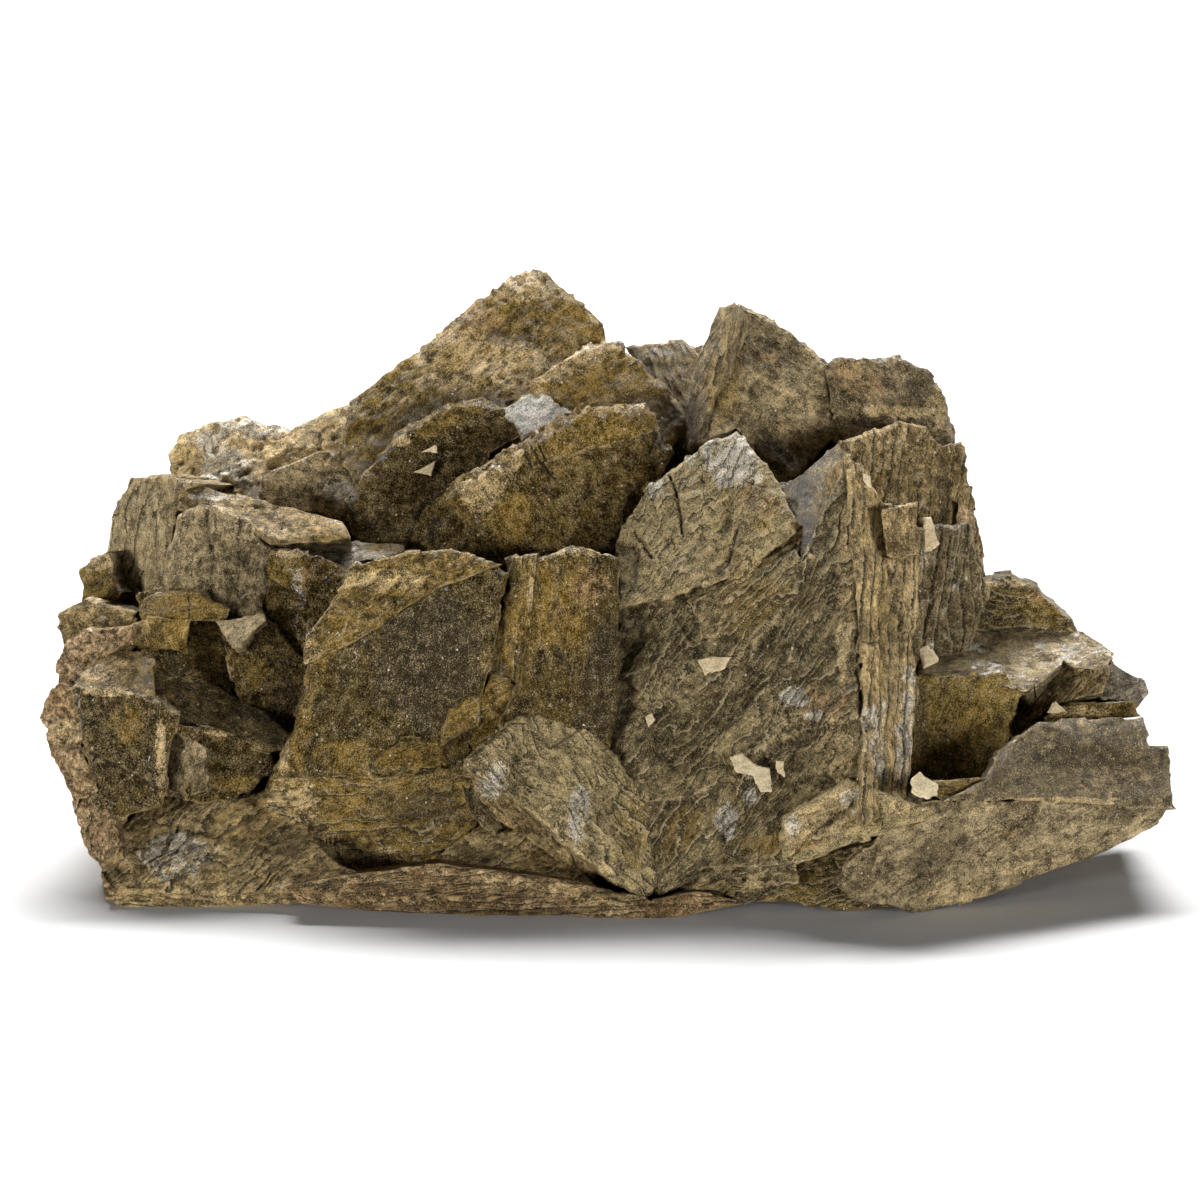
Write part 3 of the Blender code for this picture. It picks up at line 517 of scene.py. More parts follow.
def spread_grid(outline, step):
    """A grid spread over an outline: place = middle + r * (rim(q) - middle), where r = max(|u|, |v|) and q
    is where the ray from the middle through (u, v) leaves the square. Returns the places and r, both as
    (rows, columns), the rows and columns of the rim in order, and the middle."""
    after = np.roll(outline, -1, axis=0)
    area = (outline[:, 0] * after[:, 1] - outline[:, 1] * after[:, 0]).sum()
    outline = outline if area > 0 else outline[::-1]
    middle = seeing_place(outline)
    spun = outline - middle
    axes = np.linalg.svd(spun - spun.mean(0), full_matrices=False)[2]
    axes = axes if np.linalg.det(axes) > 0 else axes * [[1], [-1]]
    spun = spun @ axes.T
    wide, high = np.ptp(spun, axis=0)
    columns, rows = (max(5, math.ceil(side / 2 / step)) for side in (wide, high))
    closed = np.vstack([spun, spun[:1]])
    length = np.concatenate([[0], np.cumsum(np.hypot(*np.diff(closed, axis=0).T))])
    whole = length[-1]
    fine = np.unique(np.concatenate([np.linspace(0, whole, 2000), length]))
    bearing = np.arctan2(np.interp(fine, length, closed[:, 1]), np.interp(fine, length, closed[:, 0]))
    bearing = np.unwrap(bearing)
    corner = math.atan2(high, wide)
    wanted = np.array([-corner, corner, math.pi - corner, math.pi + corner])
    wanted = wanted + 2 * math.pi * np.ceil((bearing[0] - wanted) / (2 * math.pi))
    starts = np.interp(wanted, bearing, fine)
    rim_at = []
    for start, end, count in zip(starts, np.roll(starts, -1), (2 * rows, 2 * columns) * 2):
        end = end if end > start else end + whole
        stops = np.linspace(start, end, count + 1)[:-1]
        knots = (length[:-1] - start) % whole + start
        places = np.rint((knots - start) / (end - start) * count).astype(int)
        kept = (places > 0) & (places < count)
        stops[places[kept]] = knots[kept]
        rim_at.append(stops)
    rim_at = np.concatenate(rim_at)
    rim = np.stack([np.interp(rim_at % whole, length, closed[:, k]) for k in (0, 1)], -1)
    v, u = np.meshgrid(np.arange(-rows, rows + 1) / rows, np.arange(-columns, columns + 1) / columns,
                       indexing="ij")
    r = np.maximum(abs(u), abs(v))
    far = np.maximum(r, 1e-9)
    on_side = abs(u) > abs(v) - 1e-12
    q = np.select(
        [on_side & (u > 0), ~on_side & (v > 0), on_side & (u < 0)],
        [
            (v / far + 1) * rows,
            2 * rows + (1 - u / far) * columns,
            2 * rows + 2 * columns + (1 - v / far) * rows,
        ],
        4 * rows + 2 * columns + (u / far + 1) * columns,
    )
    around = np.arange(len(rim) + 1)
    turned_rim = np.vstack([rim, rim[:1]])
    reach = np.stack([np.interp(q, around, turned_rim[:, k]) for k in (0, 1)], -1)
    places = middle + (r[..., None] * reach) @ axes
    i, j = np.arange(2 * columns + 1), np.arange(2 * rows + 1)
    rim_rows = [j[:-1], np.full(2 * columns, 2 * rows), j[:0:-1], np.zeros(2 * columns, int)]
    rim_columns = [np.full(2 * rows, 2 * columns), i[:0:-1], np.zeros(2 * rows, int), i[:-1]]
    return places, r, np.concatenate(rim_rows), np.concatenate(rim_columns), middle


def blurred(grid, times):
    """The grid after that many rounds of averaging each place with its four neighbours."""
    for _ in range(times):
        edge = np.pad(grid, 1, mode="edge")
        grid = (edge[:-2, 1:-1] + edge[2:, 1:-1] + edge[1:-1, :-2] + edge[1:-1, 2:] + 2 * grid) / 6
    return grid


def make_mesh(name, points, faces, material, attributes):
    """A mesh from points in mm, faces as arrays of three or four corners, and attributes as the values of
    those corners."""
    data = bpy.data.meshes.new(name)
    corners = np.concatenate([part.ravel() for part in faces]).astype(np.int32)
    sizes = np.concatenate([np.full(len(part), part.shape[1]) for part in faces])
    data.vertices.add(len(points))
    data.vertices.foreach_set("co", (points * MM).astype(np.float32).ravel())
    data.loops.add(len(corners))
    data.loops.foreach_set("vertex_index", corners)
    data.polygons.add(len(sizes))
    data.polygons.foreach_set("loop_start", (np.cumsum(sizes) - sizes).astype(np.int32))
    data.update(calc_edges=True)
    for key, values in attributes.items():
        made = data.attributes.new(key, "FLOAT_VECTOR", "CORNER")
        made.data.foreach_set("vector", values.astype(np.float32).ravel())
    data.materials.append(finish(material))
    return data


def seed_of(name):
    """A number for each name: the sum of its letters' codes times their places, and the rest over 971."""
    return sum(ord(letter) * (k + 1) for k, letter in enumerate(name)) % 971


def carve_face(across, up, inset, seed, reliefs, lines, grain, step):
    """The heights of a face out of its plane, less carved near the rim, the count of its growth lines, and
    how strong they are."""
    spacing, height, wander, kind = lines
    level = count_lines(across, up, grain, spacing, wander, seed)
    width = min(0.5, max(0.12, 1.3 * step / spacing))
    strength = 0.3 + 0.7 * smooth(clouds(across / 4, up / 4, seed + 4.6, 3), -0.55, 0.25)
    layers = lips(level % 1, width) if kind == "lips" else slats(level, width, seed)
    carved = height * layers * strength
    carved = carved + sum(carve(across, up, seed + 31 * k) for k, carve in enumerate(reliefs))
    carved = bpy.context.scene.siderite_shape.relief * (carved - np.median(carved))
    carved = carved * (0.6 + 0.4 * smooth(inset, 0, 1.0))
    return carved, level, strength * min(1, height / LINE_HEIGHT)


def weathered(across, up, inset, seed, carved, step):
    """How worn a face is on its crests and along its rim, and how hollow it is: its height against the mean
    height round it, near and further off."""
    spread = max(2, round(0.55 / step))
    high = carved - blurred(carved, spread * 3)
    near = carved - blurred(carved, spread)
    wear_and_highlight = smooth(near, 0.012, 0.10) * 0.7 + smooth(high, 0.03, 0.25) * 0.5
    edge = 0.30 + 0.55 * clouds(across / 2.2, up / 2.2, seed + 1.5, 3)
    wear_and_highlight = np.maximum(wear_and_highlight, 0.9 * (1 - smooth(inset, 0, np.maximum(edge, 0.04))))
    return wear_and_highlight, smooth(-near, 0.012, 0.10) * 0.7 + smooth(-high, 0.03, 0.25) * 0.5


def carve_side(rim, end, body, seed, layer, step):
    """Rings from the rim to the hidden end, closer near the rim, and pushed out or in by thin layers: their
    ways from the rim, their plain and their carved points, the count of the layers, how far these have
    begun, and how far they stand out."""
    thickness = np.linalg.norm(body)
    ways = [0.0]
    gap = step * 1.15
    while ways[-1] < thickness:
        ways.append(ways[-1] + gap)
        gap = min(gap * SIDE_GROWTH, SIDE_GAP)
    ways = np.array(ways) * thickness / ways[-1]
    backward = body / thickness
    beside = unit(rim - rim.mean(0))
    beside = unit(beside - (beside @ backward)[:, None] * backward)
    core = rim + (end - rim) * (ways / thickness)[:, None, None]
    pitch, stand = layer
    level = (ways[:, None] + 1.1 * clouds(*(core / 9).transpose(2, 0, 1), octaves=3)) / pitch
    lumps = clouds(*(core / 1.7).transpose(2, 0, 1), octaves=3)
    thick = slats(level, 0.3, seed) - 0.75
    begun = smooth(ways, 0, 0.5)[:, None]
    push = bpy.context.scene.siderite_shape.relief * stand * begun * (2 * thick + lumps)
    return ways, core, core + beside * push[..., None], level, begun, push / stand


def gem(
    name, outline, place, body, bevel, look, step,
    relief=(), stains=(), tone=0.0, grain=0.0, lines=None, fine=1.0, under=0.0,
):
    """One closed crystal. place(across, up, out) gives points from places on the face and heights out of
    it, and body is the way from the face to the hidden end. lines are (spacing, height, wander, "lips" or
    "slats") of the growth lines, which run along the grain. under is how far the crystal reaches past its
    outline, under its neighbours, and fine is how many times closer its grid is.

    Face: out = sum of the reliefs + growth lines - bevel * (1 - distance to rim / bevel)**1.5, the last one
    only within the bevel.
    Side: point = rim + (end - rim) * way + outward * layers(way), with way from 0 at the rim to 1 at the
    end.
    """
    shape = bpy.context.scene.siderite_shape
    manner = FINISHES[look]
    seed = seed_of(name)
    step = step / fine
    lines = lines or LINES_AT_REST
    outline = np.array(outline, float)
    outline = outline + under * unit(outline - outline.mean(0))
    flat, r, rim_rows, rim_columns, middle = spread_grid(outline, step)
    across, up = flat[..., 0], flat[..., 1]
    inset = rim_distance(flat, outline)
    outward = unit(flat - middle)
    chipped = stairs(1.8 * clouds(across / 2.6, up / 2.6, seed + 0.7, 4), 0.35) - 0.5
    chipped = chipped + 0.35 * noise(across / 0.6, up / 0.6, seed)
    flat = flat + outward * (min(shape.ragged, 2 * step) * chipped * r**6)[..., None]
    across, up = flat[..., 0], flat[..., 1]

    reliefs = (*manner["relief"], *relief)
    carved, level, strength = carve_face(across, up, inset, seed, reliefs, lines, grain, step)
    wear = np.clip(0.75 + 0.9 * clouds(across / 2.4, up / 2.4, seed + 3.3, 3), 0.12, 1.6)
    lowered = bevel * wear * np.clip(1 - inset / (bevel * wear), 0, 1) ** 1.5
    points = place(across, up, carved - lowered)
    wear_and_highlight, hollow = weathered(across, up, inset, seed, carved, step)

    rim = points[rim_rows, rim_columns]
    rim_flat = flat[rim_rows, rim_columns]
    end_flat = middle + (rim_flat - middle) * BACK_SHARE
    end = place(end_flat[:, 0], end_flat[:, 1], np.zeros(len(rim))) + body
    ways, core, sides, side_level, begun, push = carve_side(rim, end, body, seed, manner["layer"], step)
    # Where side layers stand out the side is lightened, partly as wear and partly as a painted highlight;
    # where they sink it is darkened as painted shade
    side_wear_and_highlight = smooth(push, 0.1, 0.9) * 0.5 + 0.9 * np.exp(-ways / 0.4)[:, None]
    side_hollow_shade = smooth(-push, 0.5, 1.6) * 0.9

    # the corners: those of the face, and those of the rings round the side, from the rim to the end
    shown = points.reshape(-1, 3)
    count = len(rim)
    index = np.arange(len(shown)).reshape(flat.shape[:2])
    ring = np.arange(len(ways) * count).reshape(len(ways), count)
    after = np.roll(ring, -1, axis=1)
    quads = np.stack([index[:-1, :-1], index[:-1, 1:], index[1:, 1:], index[1:, :-1]], -1).reshape(-1, 4)
    walls = np.stack([ring[:-1], ring[1:], after[1:], after[:-1]], -1).reshape(-1, 4)
    cap = np.stack([ring[-1], np.full(count, ring.size), after[-1]], -1)
    vertex = np.concatenate([index[rim_rows, rim_columns], len(shown) + np.arange(ring.size - count + 1)])
    everything = np.vstack([shown, sides[1:].reshape(-1, 3), sides[-1].mean(0)])

    def corners(on_face, on_side):
        """Three fields on the face and three on the side, as the values of the corners of all faces."""
        on_face = np.stack(np.broadcast_arrays(*on_face), -1).reshape(-1, 3)
        on_side = np.stack([np.broadcast_to(part, ring.shape) for part in on_side], -1).reshape(-1, 3)
        on_side = np.vstack([on_side, on_side[-1]])
        return np.concatenate([on_face[quads.ravel()], on_side[walls.ravel()], on_side[cap.ravel()]])

    masks = {kind: stained(stains, kind, across, up, seed) for kind in STAINS}
    fading = np.exp(-ways / SIDE_FADE)[:, None]
    side_masks = {kind: mask[rim_rows, rim_columns] * fading for kind, mask in masks.items()}
    shade = clouds(across / 6, up / 6, seed + 8.8, 3) * 0.35 + tone
    side_shade = clouds(*(core / 5).transpose(2, 0, 1)) * 0.35 + tone
    facing = unit(place(*middle, 1.0) - place(*middle, 0.0))
    level_way = unit(
        place(middle[0] + math.cos(math.radians(grain)), middle[1] + math.sin(math.radians(grain)), 0.0)
        - place(*middle, 0.0)
    )
    local = np.stack([level_way, np.cross(facing, level_way), facing], -1)
    attributes = {
        "grain": corners(
            (points @ local + seed).transpose(2, 0, 1), (sides @ local + seed).transpose(2, 0, 1)
        ),
        # The wear attribute: crest wear with a painted highlight, painted shade in hollows, and a random
        # tone
        "wear": corners((wear_and_highlight, hollow, shade), (side_wear_and_highlight, side_hollow_shade, side_shade)),
        "stain": corners(*[[mask[kind] for kind in STAINS[:3]] for mask in (masks, side_masks)]),
        "smear": corners(
            (masks["dark"], masks["tan"], LINE_WIDTH / lines[0]),
            (side_masks["dark"], side_masks["tan"], SIDE_LINE_WIDTH / manner["layer"][0]),
        ),
        "growth": corners(
            (level, strength, np.exp(-np.abs(inset) / GLOW_FADE)),
            (side_level, 0.5 * begun, np.exp(-ways / GLOW_FADE)[:, None]),
        ),
    }
    return make_mesh(name, everything, [quads, vertex[walls], vertex[cap]], look, attributes)


faces = {}  # of each crystal of the front: the middle of its outline, its depth, turn and lean
drawn = []  # the meshes of the crystals drawn since the last region was joined


def depth_of(name, across, up):
    """How deep behind the board that crystal's face lies at (across, up): depth + tan(turn) * way across
    + tan(lean) * way up, from the middle of its outline."""
    middle_across, middle_up, depth, turn, lean = faces[name]
    turned_by = math.tan(math.radians(turn)) * (across - middle_across)
    return depth + turned_by + math.tan(math.radians(lean)) * (up - middle_up)


def board_face(name, nearer=0.0):
    """A function that gives the points at places on that crystal's face, moved nearer to the eye by so
    much, and at heights out of it: point = plane(across, up) + out * facing."""

    def plane(across, up):
        return from_board(across, up, depth_of(name, across, up) - nearer)

    start, right, above = (plane(across, up) for across, up in SLOPE_PLACES)
    facing = unit(np.cross(right - start, above - start))
    return lambda across, up, out: plane(across, up) + np.multiply.outer(out, facing)


def crystal(name, outline, depth, turn, lean, body, bevel, look, **carving):
    """A crystal of the front. Its face turns to the right and leans back by so many degrees, and its body
    runs (across, up, back) from there."""
    middle_across, middle_up = np.mean(outline, axis=0)
    faces[name] = (middle_across, middle_up, depth, turn, lean)
    shift_across, shift_up, back = body
    start = from_board(middle_across, middle_up, depth)
    end = from_board(middle_across + shift_across, middle_up + shift_up, depth + back)
    step = bpy.context.scene.siderite_shape.front_step
    drawn.append(gem(name, outline, board_face(name), end - start, bevel, look, step, **carving))


def rhomb(width, height, slant, clip):
    """A parallelogram's outline, with its two sharp corners clipped off by that share of its sides."""
    lean = height * math.tan(math.radians(slant)) / 2
    low_left = np.array((-width / 2 - lean, -height / 2))
    low_right = np.array((width / 2 - lean, -height / 2))
    top_right = np.array((width / 2 + lean, height / 2))
    top_left = np.array((-width / 2 + lean, height / 2))
    return [
        low_left + (low_right - low_left) * clip,
        low_right,
        top_right + (low_right - top_right) * clip,
        top_right + (top_left - top_right) * clip,
        top_left,
        low_left + (top_left - low_left) * clip,
    ]


def back_crystal(name, place, facing, lean, roll, size, look, lines, grain, tone):
    """A rhomb of the back or an end: its middle in mm, the way it faces (0 is the front, 90 the right end,
    180 the back), how far it leans back and rolls, its width, height, thickness and slant, its finish, and
    the (spacing, height, kind) and the grain of its growth lines, and its tone."""
    width, height, thickness, slant = size
    spacing, line_height, kind = lines
    a, b, c = (math.radians(angle) for angle in (facing, -lean, roll))
    about_z = np.array([[math.cos(a), -math.sin(a), 0], [math.sin(a), math.cos(a), 0], [0, 0, 1]])
    about_x = np.array([[1, 0, 0], [0, math.cos(b), -math.sin(b)], [0, math.sin(b), math.cos(b)]])
    about_y = np.array([[math.cos(c), 0, math.sin(c)], [0, 1, 0], [-math.sin(c), 0, math.cos(c)]])
    turn = about_z @ about_x @ about_y
    middle = np.array(place) - (MIDDLE_X, MIDDLE_Y, 0)

    def put(across, up, out):
        return middle + np.stack(np.broadcast_arrays(across, -np.asarray(out), up), -1) @ turn.T

    outline = rhomb(width, height, slant, BACK_CLIP)
    step = bpy.context.scene.siderite_shape.back_step
    drawn.append(gem(
        name, outline, put, turn @ (0, thickness, 0), BACK_BEVEL, look, step,
        relief=(rough(3, 0.4), crust(1.0, 0.1, 0.4)),
        lines=(spacing, line_height, BACK_WANDER, kind), grain=grain, tone=tone,
    ))


def lump(name, place, radii):
    """A lump of matrix: point = middle + radii * direction * (1 + lumps and pits of 3D noise)."""
    step = bpy.context.scene.siderite_shape.back_step * 1.5
    rows = math.ceil(math.pi * max(radii) / step / 1.6)
    tilt, turn = np.meshgrid(np.linspace(0, math.pi, rows + 1)[1:-1],
                             np.linspace(0, 2 * math.pi, 2 * rows, endpoint=False), indexing="ij")
    ring = np.stack([np.sin(tilt) * np.cos(turn), np.sin(tilt) * np.sin(turn), np.cos(tilt)], -1)
    ends = np.array([[0, 0, 1.0], [0, 0, -1.0]])
    middle = np.array(place) - (MIDDLE_X, MIDDLE_Y, 0)
    ways = np.vstack([ring.reshape(-1, 3), ends])
    points = middle + ways * radii
    big = clouds(*(points / 6).T, octaves=4)
    small = stairs(2 * clouds(*(points / 2).T, octaves=3), 0.3)
    points = points + ways * (LUMP_LUMPS * big + LUMP_STEPS * small)[:, None]
    index = np.arange(ring.size // 3).reshape(ring.shape[:2])
    after = np.roll(index, -1, axis=1)
    quads = np.stack([index[:-1], index[1:], after[1:], after[:-1]], -1).reshape(-1, 4)
    top = np.stack([np.full(2 * rows, index.size), index[0], after[0]], -1)
    bottom = np.stack([np.full(2 * rows, index.size + 1), after[-1], index[-1]], -1)
    shared = [quads, top, bottom]
    corner = np.concatenate([part.ravel() for part in shared])
    # Raised steps lightened as wear with a painted highlight, low steps darkened as painted shade, and a
    # random tone
    wear = np.stack([smooth(small, 0.3, 1) * 0.4, smooth(-small, 0.3, 1) * 0.5, 0.4 * big], -1)
    attributes = {"grain": (points + seed_of(name))[corner], "wear": wear[corner]}
    for key in ("stain", "smear", "growth"):
        attributes[key] = 0 * wear[corner]
    drawn.append(make_mesh(name, points, shared, "matrix", attributes))


def chip(name, outline, host, thickness, lift=0.0):
    """A small flake or block of calcite on the host crystal's face, of that thickness. Its back stands
    CHIP_CLEAR + lift off the face, and its root reaches back from there."""
    clear = CHIP_CLEAR + lift
    place = board_face(host, clear + thickness)
    across, up = np.mean(outline, axis=0)
    body = from_board(across, up, depth_of(host, across, up) - clear + CHIP_ROOT) - place(across, up, 0.0)
    bevel = min(CHIP_BEVEL, thickness / 3)
    mesh = gem(name, outline, place, body, bevel, "pale_calcite", CHIP_STEP)
    lay(bpy.data.objects.new("dressed_" + name, mesh), name)


def lay(made, node):
    """Links a finished piece, sharpens its steep edges and says what it stands for."""
    bpy.context.scene.collection.objects.link(made)
    made.data.shade_smooth()
    made.data.set_sharp_from_angle(angle=math.radians(SHARP_ANGLE))
    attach(made, "root")
    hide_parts(node)


def grow(name):
    """Joins the crystals drawn since the last call in one mesh, cut off flat where the specimen rests."""
    scene = bpy.context.scene.collection
    others = bpy.data.collections.new("crystals of " + name)
    scene.children.link(others)
    bodies = [bpy.data.objects.new(mesh.name, mesh) for mesh in drawn]
    drawn.clear()
    scene.objects.link(bodies[0])
    for body in bodies[1:]:
        others.objects.link(body)
    bpy.ops.mesh.primitive_cube_add(size=FLOOR_BLOCK * MM, location=(0, 0, -FLOOR_BLOCK / 2 * MM))
    block = bpy.context.object
    if len(bodies) > 1:
        join = bodies[0].modifiers.new("crystals", "BOOLEAN")
        join.operation = "UNION"
        join.solver = "MANIFOLD"
        join.material_mode = "TRANSFER"
        join.operand_type = "COLLECTION"
        join.collection = others
    cut = bodies[0].modifiers.new("flat underside", "BOOLEAN")
    cut.operation = "DIFFERENCE"
    cut.solver = "MANIFOLD"
    cut.object = block
    bpy.context.view_layer.update()
    graph = bpy.context.evaluated_depsgraph_get()
    joined = bpy.data.meshes.new_from_object(
        bodies[0].evaluated_get(graph), preserve_all_data_layers=True, depsgraph=graph
    )
    for body in [*bodies, block]:
        bpy.data.objects.remove(body, do_unlink=True)
    bpy.data.collections.remove(others)
    joined.name = name
    lay(bpy.data.objects.new(name, joined), CLUSTER)


# ---------------------------------------------------------------- materials


class Link:
    """A socket that takes part in sums: each operator adds the Math node that works it out."""

    def __init__(self, shader, socket):
        self.shader = shader
        self.socket = socket

    def sum(self, operation, *values, **settings):
        """The Math node of that operation on the values."""
        return self.shader.node("ShaderNodeMath", {"operation": operation, **settings}, *values)

    def __add__(self, other):
        return self.sum("ADD", self, other)

    def __sub__(self, other):
        return self.sum("SUBTRACT", self, other)

    def __rsub__(self, other):
        return self.sum("SUBTRACT", other, self)

    def __mul__(self, other):
        return self.sum("MULTIPLY", self, other)

    def __truediv__(self, other):
        return self.sum("DIVIDE", self, other)

    def most(self, other):
        return self.sum("MAXIMUM", self, other)

    def least(self, other):
        return self.sum("MINIMUM", self, other)

    def clamped(self):
        return self.sum("ADD", self, 0.0, use_clamp=True)

    def smooth(self, low, high):
        """0 below low and 1 above high, eased between them."""
        return self.shader.node(
            "ShaderNodeMapRange", {"interpolation_type": "SMOOTHSTEP"}, self, low, high, 0.0, 1.0
        )

    __radd__ = __add__
    __rmul__ = __mul__


class Shader:
    """A material's node tree."""

    def __init__(self, name):
        self.material = bpy.data.materials.new(name)
        self.material.use_nodes = True
        self.tree = self.material.node_tree
        self.surface = self.tree.nodes["Principled BSDF"]

    def node(self, kind, settings, *values, output=0):
        """A node of that type: the settings first, then its sockets in order: a Link, a value or None."""
        made = self.tree.nodes.new(kind)
        for key, value in settings.items():
            setattr(made, key, value)
        sockets = [socket for socket in made.inputs if socket.enabled]
        for socket, value in zip(sockets, values):
            self.feed(socket, value)
        shown = [socket for socket in made.outputs if socket.enabled]
        return Link(self, shown[output])

    def feed(self, socket, value):
        """Links the socket to a Link, or sets it to a value."""
        if isinstance(value, Link):
            self.tree.links.new(value.socket, socket)
        elif isinstance(value, tuple) and len(value) == 3 and socket.type == "RGBA":
            socket.default_value = (*value, 1)
        elif value is not None:
            socket.default_value = value

    def mix(self, share, first, second, blend="MIX"):
        """The first colour with that share of the second laid over it."""
        return self.node(
            "ShaderNodeMix", {"data_type": "RGBA", "blend_type": blend, "clamp_factor": True},
            share, first, second,
        )

    def attribute(self, name):
        """The three numbers of a corner attribute."""
        vector = self.node("ShaderNodeAttribute", {"attribute_name": name}, output=1)
        return [self.node("ShaderNodeSeparateXYZ", {}, vector, output=k) for k in range(3)]

    def scaled(self, vector, x, y, z):
        """The vector times one number along each axis."""
        return self.node("ShaderNodeVectorMath", {"operation": "MULTIPLY"}, vector, (x, y, z))

    def noise(self, vector, scale, detail=3.0, roughness=0.55, output=0):
        """Cloudy noise: 0 gives a number and 1 a colour."""
        return self.node(
            "ShaderNodeTexNoise", {"noise_dimensions": "3D"}, vector, scale, detail, roughness, output=output
        )

    def moved(self, vector, number):
        """The vector moved along by a share of a number."""
        return self.node("ShaderNodeVectorMath", {"operation": "ADD"}, vector, (number - 0.5) * 0.5)

    def parts(self, colour):
        """The red, green and blue of a colour."""
        return [self.node("ShaderNodeSeparateColor", {}, colour, output=k) for k in range(3)]

    def seeds(self, vector, scale, output=0):
        """Scattered cells: 0 gives the distance to the nearest seed, 1 its own colour, 2 its place."""
        return self.node("ShaderNodeTexVoronoi", {"feature": "F1"}, vector, scale, output=output)

    def colour(self, value):
        """A grey of that value."""
        return self.node("ShaderNodeCombineColor", {"mode": "RGB"}, value, value, value)


def plate_mosaic(shader, grain, pitch, draw):
    """Plates of that pitch, drawn out along the grain, with ruffled borders: two chance numbers of each and
    the distance to its border."""
    ruffled = shader.noise(grain, 0.7 / pitch, 4, 0.65, output=1)
    ruffle = shader.node("ShaderNodeVectorMath", {"operation": "SCALE"}, ruffled)
    ruffle.socket.node.inputs["Scale"].default_value = PLATE_RUFFLE
    laid = shader.scaled(grain, 1 / (pitch * draw), 1 / pitch, 0.6 / pitch)
    laid = shader.node("ShaderNodeVectorMath", {"operation": "ADD"}, laid, ruffle)
    own, other, _ = shader.parts(shader.seeds(laid, 1.0, output=1))
    border = shader.node("ShaderNodeTexVoronoi", {"feature": "DISTANCE_TO_EDGE"}, laid, 1.0)
    return own, other, border


